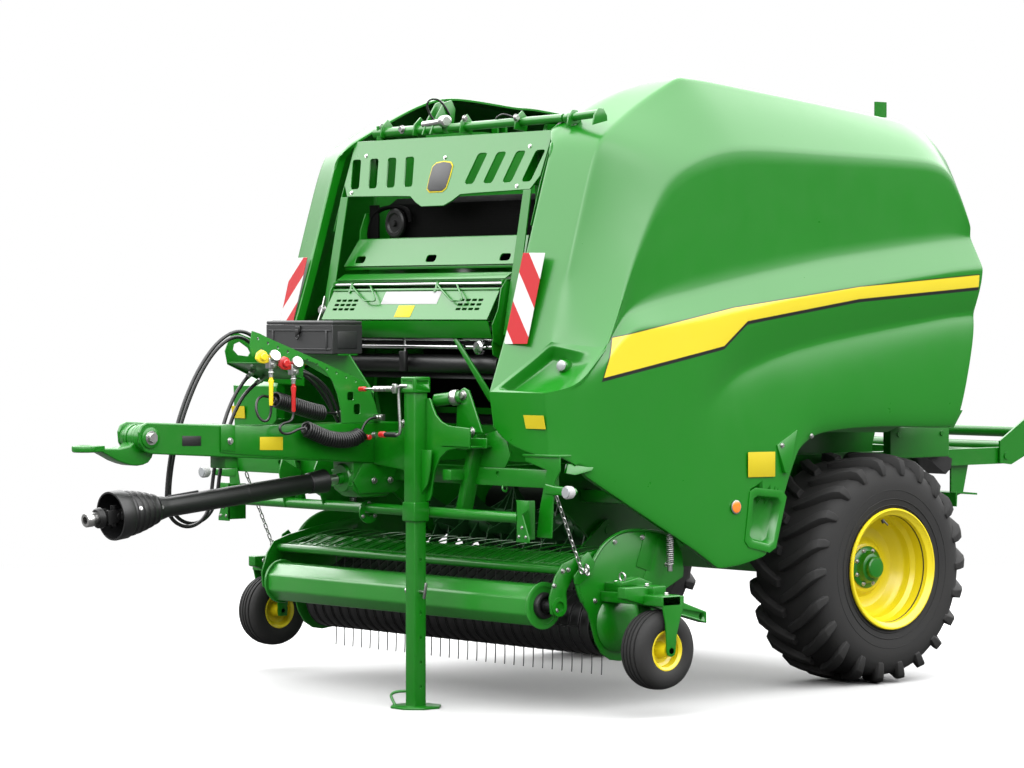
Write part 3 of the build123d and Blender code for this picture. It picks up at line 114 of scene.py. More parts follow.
def bevel(piece, width, segments=2, angle=30):
    if width:
        modify(piece, "BEVEL", width=width, segments=segments, limit_method="ANGLE", angle_limit=radians(angle),
               harden_normals=False)
    return piece


def smooth(piece, angle=35):
    pick(piece)
    bpy.ops.object.shade_smooth_by_angle(angle=radians(angle))
    return piece


def cut(piece, *cutters):
    """Takes cutters away from a piece."""
    tool = join("cutter", *cutters)
    modify(piece, "BOOLEAN", object=tool, operation="DIFFERENCE", solver="EXACT")
    bpy.data.objects.remove(tool, do_unlink=True)
    return piece


def join(name, *pieces):
    """Makes one object of several."""
    pick(*pieces)
    if len(pieces) > 1:
        bpy.ops.object.join()
    pieces[0].name = name
    pieces[0].data.name = name
    return pieces[0]


def copies(piece, *matrices):
    """The piece and one more of it for each matrix, each with its own mesh."""
    twins = [piece]
    for matrix in matrices:
        twin = piece.copy()
        twin.data = piece.data.copy()
        bpy.context.collection.objects.link(twin)
        twin.data.transform(matrix)
        if matrix.determinant() < 0:
            twin.data.flip_normals()
        twins.append(twin)
    return twins


def outline_face(points):
    """A filled outline through the points, from a circle whose corners are set in place."""
    clear()
    bpy.ops.mesh.primitive_circle_add(vertices=len(points), radius=1, fill_type="NGON")
    face = active()
    for vertex, point in zip(face.data.vertices, points):
        vertex.co = point
    return face


def extruded(corners, way, width, segments=2, angle=30):
    """A plate through places in metres, grown along a way, with broken edges."""
    face = outline_face(corners)
    edit(face, (bpy.ops.mesh.extrude_region_move, {"TRANSFORM_OT_translate": {"value": way}}))
    return bevel(tidy(face), width, segments, angle)


def leaf(side, corners, way, width, segments):
    """A leaning plate on one side. Its corners are in millimetres from the axle, its thickness a way in metres."""
    return extruded([place(side * x, y, z) for x, y, z in corners], way, width, segments)


def slab(outline, axis, start, thick, width=0.0015, segments=2, angle=30):
    """A plate of an outline, in millimetres from the axle. Its axis is x, y or z, and it grows along it."""
    spots = {
        "x": lambda a, b: place(start, a, b),
        "y": lambda a, b: place(a, start, b),
        "z": lambda a, b: place(a, b, start),
    }[axis]
    way = Vector([thick / 1000 if axis == name else 0 for name in "xyz"])
    return smooth(extruded([spots(a, b) for a, b in outline], way, width, segments, angle))


def block(low, high, width=0.002, segments=2):
    """A box between two corners in millimetres from the axle, with broken edges."""
    (x0, x1), (y0, y1), (z0, z1) = sorted((low[0], high[0])), (low[1], high[1]), (low[2], high[2])
    return slab(((x0, y0), (x1, y0), (x1, y1), (x0, y1)), "z", z0, z1 - z0, width, segments)


def rod(start, end, radius, sides=20, width=0.0008):
    """A round bar between two places in millimetres from the axle."""
    a, b = place(*start), place(*end)
    clear()
    bpy.ops.mesh.primitive_cylinder_add(
        vertices=sides, radius=radius / 1000, depth=(b - a).length, location=(a + b) / 2,
        rotation=(b - a).to_track_quat("Z", "Y").to_euler())
    bar = settle(active())
    return smooth(bevel(bar, width, 1, 50))


def ring(middle, axis, radius, thick, sides=28):
    """A round wire ring or a bead. Its axis is a direction."""
    clear()
    bpy.ops.mesh.primitive_torus_add(
        location=place(*middle), rotation=Vector(axis).to_track_quat("Z", "Y").to_euler(),
        major_radius=radius / 1000, minor_radius=thick / 1000, major_segments=sides, minor_segments=8)
    return smooth(settle(active()), 60)


def hexagon(middle, axis, radius, height):
    """A bolt head with a washer under it, standing on a face at middle and pointing along the axis."""
    way, foot = Vector(axis).normalized(), Vector(middle)
    head = rod(foot + way * 2, foot + way * (2 + height), radius, 6)
    washer = rod(foot, foot + way * 2.2, radius * 1.35, 18, 0.0004)
    return join("bolt", head, washer)


def heads(axis, radius, height, *middles):
    """The same bolt head at several places."""
    return [hexagon(middle, axis, radius, height) for middle in middles]


def turned(profile, origin, axis, steps=64, sharp=35):
    """A turned piece. The profile is (along the axis, from the axis), closed, in millimetres."""
    middle = place(*origin)
    way = Vector(axis).normalized()
    turn = way.to_track_quat("Z", "Y").to_matrix()
    face = outline_face([middle + turn @ Vector((r / 1000, 0, a / 1000)) for a, r in profile])
    edit(face, (bpy.ops.mesh.delete, {"type": "ONLY_FACE"}), (bpy.ops.mesh.select_all, {"action": "SELECT"}),
         (bpy.ops.mesh.spin, {"steps": steps, "angle": tau, "center": middle, "axis": way}))
    return smooth(tidy(face), sharp)


def spline_curve(name, points, radius, steps=10, roundness=3):
    """An open smooth curve through points in metres, as a round bar or hose."""
    line = bpy.data.curves.new(name, "CURVE")
    line.dimensions = "3D"
    spline = line.splines.new("NURBS")
    spline.points.add(len(points) - 1)
    for knot, point in zip(spline.points, points):
        knot.co = (*point, 1)
    spline.order_u = 3
    spline.use_endpoint_u = True
    line.resolution_u = steps
    line.bevel_depth = radius
    line.bevel_resolution = roundness
    line.use_fill_caps = True
    bar = bpy.data.objects.new(name, line)
    bpy.context.collection.objects.link(bar)
    return bar


def wire(points, radius, steps=6, sides=8):
    """A bent round bar along smoothed points, in millimetres from the axle."""
    pick(spline_curve("wire", [place(*point) for point in points], radius / 1000, steps, max(1, sides // 4 - 1)))
    bpy.ops.object.convert(target="MESH")
    return smooth(active(), 60)


def coil(start, end, radius, gauge, turns, steps=14):
    """A wire spring between two places."""
    a, b = place(*start), place(*end)
    turn = (b - a).to_track_quat("Z", "Y").to_matrix()
    count = int(turns * steps)
    spots = []
    for number in range(count + 1):
        angle = number / steps * tau
        spots.append(a + turn @ Vector((cos(angle) * radius / 1000, sin(angle) * radius / 1000,
                                        (b - a).length * number / count)))
    return wire([(spot - AXLE) * 1000 for spot in spots], gauge, 2)


def sheet_of(rows):
    """A grid of quads through rows of places in metres, from a grid whose corners are set in place."""
    clear()
    bpy.ops.mesh.primitive_grid_add(x_subdivisions=len(rows[0]) - 1, y_subdivisions=len(rows) - 1, size=1)
    skin = active()
    spots = [spot for row in rows for spot in row]
    for vertex, spot in zip(skin.data.vertices, spots):
        vertex.co = spot
    return skin


def repaint(node, material):
    """Gives a CAD node a better material."""
    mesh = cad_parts[node].data
    mesh.materials.clear()
    mesh.materials.append(material)


def between(table, y):
    """Reads a line given as (y, value) pairs."""
    if y <= table[0][0]:
        return table[0][1]
    for (y0, v0), (y1, v1) in zip(table, table[1:]):
        if y <= y1:
            return v0 + (v1 - v0) * (y - y0) / (y1 - y0)
    return table[-1][1]


# ---------------------------------------------------------------- materials
class Wire:
    """One value in a material. Arithmetic on it adds Math nodes."""

    def __init__(self, finish, socket):
        self.finish = finish
        self.socket = socket

    def math(self, operation, *values):
        return self.finish.add("ShaderNodeMath", {"operation": operation}, dict(enumerate(values)))

    def __add__(self, other):
        return self.math("ADD", self, other)

    def __sub__(self, other):
        return self.math("SUBTRACT", self, other)

    def __mul__(self, other):
        return self.math("MULTIPLY", self, other)

    def __truediv__(self, other):
        return self.math("DIVIDE", self, other)

    def __rsub__(self, other):
        return self.math("SUBTRACT", other, self)

    __radd__ = __add__
    __rmul__ = __mul__

    def __abs__(self):
        return self.math("ABSOLUTE", self)

    def least(self, other):
        return self.math("MINIMUM", self, other)

    def most(self, other):
        return self.math("MAXIMUM", self, other)

    def above(self, limit, soft=0.002):
        """One where the value is above the limit, with a soft step."""
        return self.finish.add("ShaderNodeMapRange", {"clamp": True}, {
            "Value": self - limit, "From Min": -soft, "From Max": soft})

    def below(self, limit, soft=0.002):
        return 1 - self.above(limit, soft)

    def fraction(self, size):
        """How far the value is through each step of a size, from 0 to 1."""
        return self.math("FRACT", self / size)


class Finish:
    """A material on the Principled shader, built from values and links."""

    def __init__(self, name, color=None, roughness=0.5, metallic=0.0, coat=0.0, coat_roughness=0.1, **sockets):
        self.material = bpy.data.materials.new(name)
        self.material.use_nodes = True
        self.tree = self.material.node_tree
        self.shader = self.tree.nodes["Principled BSDF"]
        self.set("Roughness", roughness)
        self.set("Metallic", metallic)
        self.set("Coat Weight", coat)
        self.set("Coat Roughness", coat_roughness)
        if color is not None:
            self.set("Base Color", color)
            self.material.diffuse_color = (*color[:3], 1)
        for socket, value in sockets.items():
            self.set(socket.replace("_", " "), value)
        self.spot = self.add("ShaderNodeTexCoord", {}, {}, "Object")
        self.x, self.y, self.z = (self.add("ShaderNodeSeparateXYZ", {}, {0: self.spot}, axis) for axis in "XYZ")

    def put(self, socket, value):
        if isinstance(value, Wire):
            self.tree.links.new(value.socket, socket)
        elif socket.type == "RGBA":
            socket.default_value = (*value[:3], 1)
        else:
            socket.default_value = value

    def set(self, socket, value):
        self.put(self.shader.inputs[socket], value)

    def add(self, kind, settings, inputs, output=0):
        """Any node: its settings first, then its sockets' values or links."""
        node = self.tree.nodes.new(kind)
        for key, value in settings.items():
            setattr(node, key, value)
        for key, value in inputs.items():
            self.put(node.inputs[key], value)
        return Wire(self, node.outputs[output])

    def noise(self, scale, detail=3.0, roughness=0.5):
        return self.add("ShaderNodeTexNoise", {}, {
            "Vector": self.spot, "Scale": scale, "Detail": detail, "Roughness": roughness})

    def mix(self, factor, first, second):
        """Mixes two colours."""
        node = self.tree.nodes.new("ShaderNodeMix")
        node.data_type = "RGBA"
        self.put(node.inputs["Factor"], factor)
        self.put(node.inputs[6], first)
        self.put(node.inputs[7], second)
        return Wire(self, node.outputs[2])

    def bump(self, height, strength=0.2, distance=0.001):
        self.set("Normal", self.add("ShaderNodeBump", {}, {
            "Height": height, "Strength": strength, "Distance": distance}))


def shade(color, factor):
    """A colour made lighter or darker."""
    return tuple(min(1.0, channel * factor) for channel in color[:3])


MATERIALS = {}


def keep(name, build):
    """Each material is made once."""
    if name not in MATERIALS:
        MATERIALS[name] = build().material
    return MATERIALS[name]


def colors():
    return bpy.context.scene.baler_colors


def sizes():
    return bpy.context.scene.baler_sizes


def paint_on(finish, color, grain=0.05):
    """Gloss paint's slight drift of colour, its settled dust and its orange peel."""
    drift = finish.noise(1.7, 2.0)
    dust = finish.noise(9.0, 5.0, 0.65)
    base = finish.mix(drift * 0.5, shade(color, 0.93), shade(color, 1.08))
    speck = (dust - 0.5).above(0.12, 0.1) * 0.07
    finish.set("Base Color", finish.mix(speck, base, (0.07, 0.13, 0.05)))
    finish.set("Roughness", 0.24 + dust * 0.12)
    peel = finish.noise(310.0, 2.0)
    finish.bump(peel, grain, 0.0006)
    return base


def machine_green():
    def build():
        finish = Finish("machine_green_paint", coat=0.15, coat_roughness=0.15)
        paint_on(finish, colors().machine_green)
        return finish
    return keep("machine_green", build)


BAND_END = 0.604  # metres to the rear of the axle


def hood_green():
    """The hoods' gloss paint with the yellow band along the side and its black edging."""
    def build():
        finish = Finish("hood_paint", coat=0.1, coat_roughness=0.2)
        green = paint_on(finish, colors().hood_green, 0.03)
        # the band's lines in side view, in metres to the rear of the axle and up from the ground: its top edge, its
        # stepped lower edge and its slanting front end
        y, z = finish.y - AXLE.y, finish.z
        top = (1.748 + (y + 1.927) * 0.1817).least(1.889 + (y + 1.151) * 0.121).least(1.994 + (y + 0.283) * 0.0747)
        step = (1.707 + (y + 1.218) * 0.768).least(1.826 + (y + 1.063) * 0.1396).least(1.935 + (y + 0.282) * 0.0725)
        low = (1.563 + (y + 2.002) * 0.1837).least(1.72).most(step)
        front = (z - 1.563) * 0.405 - 2.002
        outside = abs(finish.x).above(1.2)

        def band(under, over, fore, aft):
            """One inside the band, made wider on its four sides."""
            return (z - low).above(-under) * (top - z).above(-over) * (y - front).above(-fore) * \
                y.below(BAND_END + aft) * outside
        edging = band(0.017, 0.005, 0.006, 0.002)
        yellow = band(0, 0, 0, 0)
        dark = finish.mix(edging, green, (0.004, 0.004, 0.004))
        finish.set("Base Color", finish.mix(yellow, dark, colors().band_yellow))
        return finish
    return keep("hood_green", build)


def rim_yellow():
    def build():
        finish = Finish("rim_yellow_paint", coat=0.1, coat_roughness=0.15)
        paint_on(finish, colors().rim_yellow)
        return finish
    return keep("rim_yellow", build)


def tyre_rubber():
    def build():
        finish = Finish("tyre_rubber", roughness=0.8, Specular_IOR_Level=0.35)
        dust = finish.noise(6.0, 6.0, 0.7)
        fine = finish.noise(120.0, 3.0)
        color = finish.mix((dust - 0.35).above(0.12, 0.2) * 0.55, colors().rubber_black, (0.014, 0.0135, 0.0125))
        finish.set("Base Color", color)
        finish.set("Roughness", 0.66 + dust * 0.2)
        finish.bump(fine + dust * 0.6, 0.35, 0.0012)
        return finish
    return keep("tyre_rubber", build)


def plain(name, color, roughness, metallic=0.0, scale=140.0, strength=0.12, drift=0.12, **sockets):
    """A moulded, rubber or metal surface with fine grain and a slight change of colour and gloss."""
    def build():
        finish = Finish(name, metallic=metallic, **sockets)
        grain = finish.noise(scale, 3.0)
        cloud = finish.noise(4.5, 4.0, 0.6)
        finish.set("Base Color", finish.mix(cloud, shade(color, 1 - drift), shade(color, 1 + drift)))
        finish.set("Roughness", roughness - 0.06 + cloud * 0.12)
        finish.bump(grain, strength, 0.0006)
        return finish
    return keep(name, build)


def black_plastic():
    return plain("black_plastic", (0.004, 0.004, 0.0042), 0.42, scale=420.0, strength=0.25)


def dark_moulding():
    return plain("dark_moulding", (0.013, 0.0135, 0.014), 0.5, scale=500.0, strength=0.3)


def hose_rubber():
    return plain("hose_rubber", (0.0035, 0.0035, 0.0038), 0.4, scale=600.0, strength=0.2)


def zinc_steel():
    return plain("zinc_steel", (0.48, 0.48, 0.47), 0.3, 1.0, scale=260.0, strength=0.08)


def bright_steel():
    return plain("bright_steel", (0.6, 0.6, 0.6), 0.16, 1.0, scale=90.0, strength=0.04, drift=0.05)


def spring_steel():
    return plain("spring_steel", (0.13, 0.13, 0.13), 0.38, 1.0, scale=200.0, strength=0.1)


def pale_spring():
    return plain("pale_spring", (0.26, 0.26, 0.26), 0.4, 1.0, scale=160.0, strength=0.1)


def shadow_paint():
    return plain("shadow_paint", (0.001, 0.016, 0.001), 0.5, scale=120.0, strength=0.08)


def dark_steel():
    return plain("dark_steel", (0.012, 0.012, 0.012), 0.4, 0.6, scale=160.0, strength=0.15)


def painted_sheen_green():
    """A paler copy of the machine green for the rack and the roller: painted sheen, where the sky's reflection lightens
    them.
    """
    def build():
        finish = Finish("painted_sheen_green_paint", coat=0.15, coat_roughness=0.12)
        paint_on(finish, (0.012, 0.15, 0.012))
        return finish
    return keep("painted_sheen_green", build)


def red_paint():
    return plain("red_handle", (0.38, 0.008, 0.008), 0.32, scale=200.0, strength=0.05, Coat_Weight=0.4)


def yellow_plastic():
    return plain("yellow_handle", (0.6, 0.45, 0.008), 0.35, scale=200.0, strength=0.05, Coat_Weight=0.4)


def white_plate():
    return plain("white_plate", (0.3, 0.3, 0.3), 0.5, scale=300.0, strength=0.04, drift=0.03,
                 Specular_IOR_Level=0.1)


def yellow_plate():
    return plain("yellow_plate", (0.36, 0.29, 0.01), 0.45, scale=300.0, strength=0.04, drift=0.05,
                 Specular_IOR_Level=0.15)


def lamp_white():
    return plain("lamp_lens", (0.2, 0.21, 0.215), 0.12, scale=60.0, strength=0.02, drift=0.02, Coat_Weight=1.0)


def amber_lens():
    return plain("amber_lens", (0.6, 0.15, 0.01), 0.14, scale=80.0, strength=0.1, drift=0.04, Coat_Weight=1.0)


def belt_rubber():
    """Belt rubber with its woven face."""
    def build():
        finish = Finish("belt_rubber", Specular_IOR_Level=0.06)
        cloud = finish.noise(7.0, 4.0)
        weave = finish.x.fraction(0.012).above(0.5, 0.2) * 0.5 + finish.z.fraction(0.012).above(0.5, 0.2) * 0.5
        finish.set("Base Color", finish.mix(cloud, (0.0008, 0.0008, 0.0008), (0.002, 0.002, 0.002)))
        finish.set("Roughness", 0.65 + cloud * 0.25)
        finish.bump(weave, 0.4, 0.001)
        return finish
    return keep("belt_rubber", build)


def marker_stripes():
    """The red and white slanting stripes of a width marker, with a fine reflective grain."""
    def build():
        finish = Finish("marker_stripes", Specular_IOR_Level=0.12)
        slant = (finish.z + abs(finish.x) * 1.23 + 0.03).fraction(0.27)
        red = slant.above(0.5, 0.004)
        grain = finish.noise(700.0, 1.0)
        finish.set("Base Color", finish.mix(red, (0.36, 0.36, 0.355), (0.27, 0.012, 0.015)))
        finish.set("Roughness", 0.4 + grain * 0.14)
        finish.bump(grain, 0.1, 0.0003)
        return finish
    return keep("marker_stripes", build)


# each look's slot and material
LOOKS = {
    "green": ("green_paint", machine_green),
    # the rack's and the roller's paler green is painted sheen
    "painted sheen green": ("green_paint", painted_sheen_green),
    "shadow": ("green_paint", shadow_paint),
    # dark steel on the tensioner disc is painted shade in the recess under the slotted panel
    "painted shade disc": ("green_paint", dark_steel),
    "red handle": ("green_paint", red_paint),
    "hood": ("hood_paint", hood_green),
    "hood frame": ("hood_paint", machine_green),
    "stripes": ("hood_paint", marker_stripes),
    "rim": ("rim_yellow", rim_yellow),
    "yellow plate": ("rim_yellow", yellow_plate),
    "yellow handle": ("rim_yellow", yellow_plastic),
    "tyre": ("tyre_rubber", tyre_rubber),
    "hose": ("hose_rubber", hose_rubber),
    "belt": ("belt_rubber", belt_rubber),
    "black roller": ("belt_rubber", black_plastic),
    "black": ("black_plastic", black_plastic),
    "dark yoke": ("black_plastic", dark_steel),
    "lamp housing": ("black_plastic", white_plate),
    "dark box": ("dark_box", dark_moulding),
    "zinc": ("zinc_steel", zinc_steel),
    "bright": ("zinc_steel", bright_steel),
    "white plate": ("zinc_steel", white_plate),
    "spring": ("spring_steel", spring_steel),
    "pale spring": ("spring_steel", pale_spring),
    "lamp": ("lamp_lens", lamp_white),
    "amber": ("lamp_lens", amber_lens),
}


def made(name, pieces, look, body="chassis", *nodes):
    """Makes one named piece of several, with its look, the body it rides on and the CAD nodes it stands for."""
    slot, material = LOOKS[look]
    piece = join(name, *pieces)
    piece.data.materials.clear()
    piece.data.materials.append(material())
    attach(piece, body)
    if nodes:
        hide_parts(*nodes)


# ---------------------------------------------------------------- sizes and colours that a user would change
class BalerSizes(bpy.types.PropertyGroup):
    """Sizes of the dressed pieces."""
    hose_diameter: bpy.props.FloatProperty(
        name="Hydraulic hose", description="Outside diameter of the two pressure hoses", default=0.018, unit="LENGTH")
    air_diameter: bpy.props.FloatProperty(
        name="Air hose", description="Outside diameter of the curly air hoses", default=0.013, unit="LENGTH")
    coil_diameter: bpy.props.FloatProperty(
        name="Curly turns", description="Diameter of the curly air hoses over their turns", default=0.08,
        unit="LENGTH")
    lugs: bpy.props.IntProperty(
        name="Tread bars", description="Bars on each side of a main tyre's tread", default=22)
    hood_wall: bpy.props.FloatProperty(
        name="Hood wall", description="Thickness of the hood panels", default=0.006, unit="LENGTH")
    tine_wire: bpy.props.FloatProperty(
        name="Tine wire", description="Diameter of the pickup's spring tines", default=0.0056, unit="LENGTH")


class BalerColors(bpy.types.PropertyGroup):
    """Colours of the finishes."""
    hood_green: bpy.props.FloatVectorProperty(
        name="Hood green", description="Gloss green of the side hoods", subtype="COLOR",
        default=(0.002, 0.118, 0.002))
    machine_green: bpy.props.FloatVectorProperty(
        name="Machine green", description="Paint of the drawbar, frame and plates", subtype="COLOR",
        default=(0.0015, 0.108, 0.0015))
    band_yellow: bpy.props.FloatVectorProperty(
        name="Band yellow", description="The yellow band along each hood", subtype="COLOR",
        default=(0.47, 0.38, 0.011))
    rim_yellow: bpy.props.FloatVectorProperty(
        name="Rim yellow", description="Paint of the wheels' rims", subtype="COLOR", default=(0.52, 0.42, 0.006))
    rubber_black: bpy.props.FloatVectorProperty(
        name="Rubber black", description="The tyres' rubber under its dust", subtype="COLOR",
        default=(0.006, 0.006, 0.0062))


# ---------------------------------------------------------------- hoses
HYDRAULIC_ROUTES = {
    "hydraulic_hose_a": (
        (-.07, -1.695, 1.645), (-.078, -1.785, 1.725), (-.092, -1.895, 1.792), (-.11, -2.01, 1.74),
        (-.128, -2.112, 1.61), (-.142, -2.19, 1.448), (-.152, -2.242, 1.28), (-.157, -2.272, 1.11),
        (-.16, -2.28, .952), (-.163, -2.23, .883), (-.166, -2.148, .856), (-.169, -2.066, .883),
        (-.172, -2.016, .952), (-.174, -1.998, 1.1), (-.174, -1.963, 1.26), (-.172, -1.912, 1.41),
        (-.168, -1.845, 1.52), (-.163, -1.79, 1.572)),
    "hydraulic_hose_b": (
        (-.112, -1.695, 1.635), (-.12, -1.785, 1.705), (-.132, -1.885, 1.765), (-.146, -1.99, 1.708),
        (-.158, -2.082, 1.585), (-.168, -2.155, 1.43), (-.176, -2.208, 1.27), (-.183, -2.238, 1.11),
        (-.19, -2.242, .973), (-.197, -2.186, .896), (-.203, -2.096, .867), (-.208, -2.006, .896),
        (-.212, -1.95, .973), (-.212, -1.93, 1.12), (-.208, -1.9, 1.27), (-.2, -1.852, 1.4),
        (-.19, -1.79, 1.495), (-.18, -1.725, 1.538)),
}
AIR_ROUTES = {
    # the route, the coiled stretch's first and last point, its turns
    "air_hose_yellow": ((
        (.13, -1.885, 1.432), (.13, -1.885, 1.392), (.122, -1.902, 1.355), (.112, -1.937, 1.365),
        (.1, -1.952, 1.41), (.088, -1.937, 1.458), (.074, -1.895, 1.478), (.06, -1.85, 1.47),
        (.05, -1.81, 1.46), (.045, -1.73, 1.44), (.04, -1.65, 1.418), (.036, -1.57, 1.398),
        (.032, -1.5, 1.386), (.025, -1.45, 1.383), (.025, -1.405, 1.383)), 8, 12, 22),
    "air_hose_red": ((
        (.13, -1.753, 1.4), (.13, -1.753, 1.37), (.133, -1.784, 1.351), (.136, -1.822, 1.348),
        (.139, -1.845, 1.329), (.141, -1.835, 1.304), (.142, -1.803, 1.296), (.142, -1.77, 1.304),
        (.142, -1.735, 1.318), (.142, -1.698, 1.322), (.142, -1.65, 1.304), (.142, -1.597, 1.283),
        (.142, -1.545, 1.268), (.142, -1.493, 1.261), (.142, -1.44, 1.26), (.142, -1.391, 1.268),
        (.141, -1.352, 1.292), (.14, -1.342, 1.325), (.139, -1.318, 1.35), (.135, -1.284, 1.364),
        (.135, -1.25, 1.364)), 9, 16, 25),
}


TURN_STEPS = 14  # points in one turn of a curly hose


def line_of(points):
    """The route's smooth line, as many points."""
    guide = spline_curve("guide", points, 0, 24)
    mesh = bpy.data.meshes.new_from_object(guide.evaluated_get(bpy.context.evaluated_depsgraph_get()))
    spots = [vertex.co.copy() for vertex in mesh.vertices]
    bpy.data.objects.remove(guide, do_unlink=True)
    bpy.data.meshes.remove(mesh)
    return spots


def line_length(spots):
    return sum((b - a).length for a, b in zip(spots, spots[1:]))


def curly_points(points, first, last, turns, radius):
    """The route with a helix in place of its coiled stretch."""
    spots = line_of(points)
    start = min(range(len(spots)), key=lambda i: (spots[i] - Vector(points[first])).length)
    end = min(range(len(spots)), key=lambda i: (spots[i] - Vector(points[last])).length)
    stretch = spots[start:end + 1]
    reach = [0.0]
    for a, b in zip(stretch, stretch[1:]):
        reach.append(reach[-1] + (b - a).length)
    steps = turns * TURN_STEPS
    helix = []
    side = None
    index = 0
    for step in range(steps + 1):
        goal = reach[-1] * step / steps
        while index < len(reach) - 2 and reach[index + 1] < goal:
            index += 1
        part = (goal - reach[index]) / (reach[index + 1] - reach[index])
        middle = stretch[index].lerp(stretch[index + 1], part)
        low, high = max(0, index - 4), min(len(stretch) - 1, index + 5)
        way = (stretch[high] - stretch[low]).normalized()
        side = way.orthogonal() if side is None else side - way * side.dot(way)
        side.normalize()
        swing = Matrix.Rotation(step / TURN_STEPS * tau, 3, way) @ side
        grown = min(1.0, step / 10, (steps - step) / 10)
        helix.append(middle + swing * radius * (0.25 + 0.75 * grown))
    return list(points[:first]) + [tuple(spot) for spot in helix] + list(points[last + 1:])


class BALER_OT_hoses(bpy.types.Operator):
    """The two pressure hoses in a long loop, and the two curly air hoses"""
    bl_idname = "baler.hoses"
    bl_label = "Hoses"

    def execute(self, context):
        size = sizes()
        for name, route in HYDRAULIC_ROUTES.items():
            hose = spline_curve(name, route, size.hose_diameter / 2)
            made(name + "_rubber", [hose], "hose", "chassis", name)
            line_length(line_of(route))
        for name, (route, first, last, turns) in AIR_ROUTES.items():
            radius = (size.coil_diameter - size.air_diameter) / 2
            points = curly_points(route, first, last, turns, radius)
            hose = spline_curve(name, points, size.air_diameter / 2, 4, 2)
            made(name + "_rubber", [hose], "hose", "chassis", name)
            line_length(line_of(points))
        return {"FINISHED"}


# ---------------------------------------------------------------- hoods
# places are metres from the axle's centre to the rear, and from the ground up
HOOD_ROOF = (
    # the inner strip's outline, the outer strip's outline, the shoulder edge (x, y, z), the lower edge (y, z)
    ((-2.335, 1.497), (-2.153, 1.729), (1.250, -1.985, 1.700), (-2.090, 1.100)),
    ((-2.262, 1.687), (-2.109, 1.865), (1.235, -1.915, 1.817), (-1.970, 1.035)),
    ((-2.183, 1.916), (-2.063, 2.010), (1.215, -1.840, 1.957), (-1.880, 0.988)),
    ((-2.105, 2.146), (-2.013, 2.180), (1.195, -1.763, 2.105), (-1.770, 0.929)),
    ((-2.020, 2.430), (-1.938, 2.430), (1.180, -1.632, 2.323), (-1.620, 0.850)),
    ((-1.945, 2.665), (-1.870, 2.640), (1.175, -1.530, 2.461), (-1.500, 0.786)),
    ((-1.885, 2.745), (-1.815, 2.710), (1.175, -1.428, 2.540), (-1.383, 0.724)),
    ((-1.550, 2.930), (-1.520, 2.875), (1.175, -1.302, 2.603), (-1.250, 0.640)),
    ((-1.345, 2.992), (-1.262, 3.003), (1.175, -1.136, 2.642), (-1.090, 0.650)),
    ((-1.150, 2.986), (-1.090, 2.996), (1.175, -1.020, 2.652), (-0.925, 0.690)),
    ((-0.900, 2.962), (-0.900, 2.975), (1.175, -0.908, 2.655), (-0.855, 0.840)),
    ((-0.820, 2.955), (-0.820, 2.967), (1.175, -0.830, 2.655), (-0.780, 1.050)),
    ((-0.740, 2.958), (-0.740, 2.958), (1.175, -0.740, 2.654), (-0.705, 1.197)),
    ((-0.620, 2.946), (-0.620, 2.946), (1.175, -0.620, 2.652), (-0.590, 1.266)),
    ((-0.450, 2.928), (-0.450, 2.928), (1.175, -0.450, 2.648), (-0.450, 1.286)),
    ((-0.177, 2.900), (-0.177, 2.900), (1.175, -0.177, 2.644), (-0.177, 1.300)),
    ((0.120, 2.868), (0.120, 2.868), (1.175, 0.120, 2.640), (0.100, 1.293)),
    ((0.347, 2.843), (0.347, 2.843), (1.175, 0.380, 2.630), (0.300, 1.286)),
    ((0.499, 2.795), (0.499, 2.795), (1.175, 0.500, 2.560), (0.400, 1.286)),
    ((0.645, 2.665), (0.645, 2.665), (1.190, 0.610, 2.300), (0.440, 1.290)),
)
REAR_EDGE = ((1.290, 0.440), (1.467, 0.550), (1.779, 0.594), (2.099, 0.640), (2.300, 0.610))  # up, to the rear
# lines along a hood's side: to the rear, up
SHOULDER_CREASE = ((-1.930, 1.800), (-1.620, 1.925), (-1.020, 2.045), (-0.460, 2.135), (0.070, 2.200),
                   (0.603, 2.255))
CREST = ((-2.002, 1.762), (-1.384, 1.841), (-0.707, 1.948), (0.008, 2.031), (0.601, 2.096))
BAND_FOOT = ((-2.002, 1.563), (-1.218, 1.707), (-1.063, 1.826), (-0.282, 1.935), (0.601, 1.999))
HOLLOW = ((-2.002, 1.300), (-1.370, 1.400), (-1.240, 1.540), (-1.060, 1.605), (-0.880, 1.655), (-0.650, 1.707),
          (-0.080, 1.790), (0.582, 1.862))
HOLLOW_FOOT = ((-2.002, 1.180), (-1.320, 1.240), (-1.150, 1.420), (-1.020, 1.480), (-0.800, 1.545), (-0.460, 1.605),
               (0.030, 1.685), (0.582, 1.760))


def spot(x, y, z):
    """A place: left of the middle, to the rear of the axle, up from the ground, in metres."""
    return Vector((x, y + AXLE.y, z))


def within(outline, across, up):
    """Whether a point lies inside an outline."""
    inside = False
    for (a, b), (c, d) in zip(outline, outline[1:] + outline[:1]):
        if (b > up) != (d > up) and across < a + (c - a) * (up - b) / (d - b):
            inside = not inside
    return inside


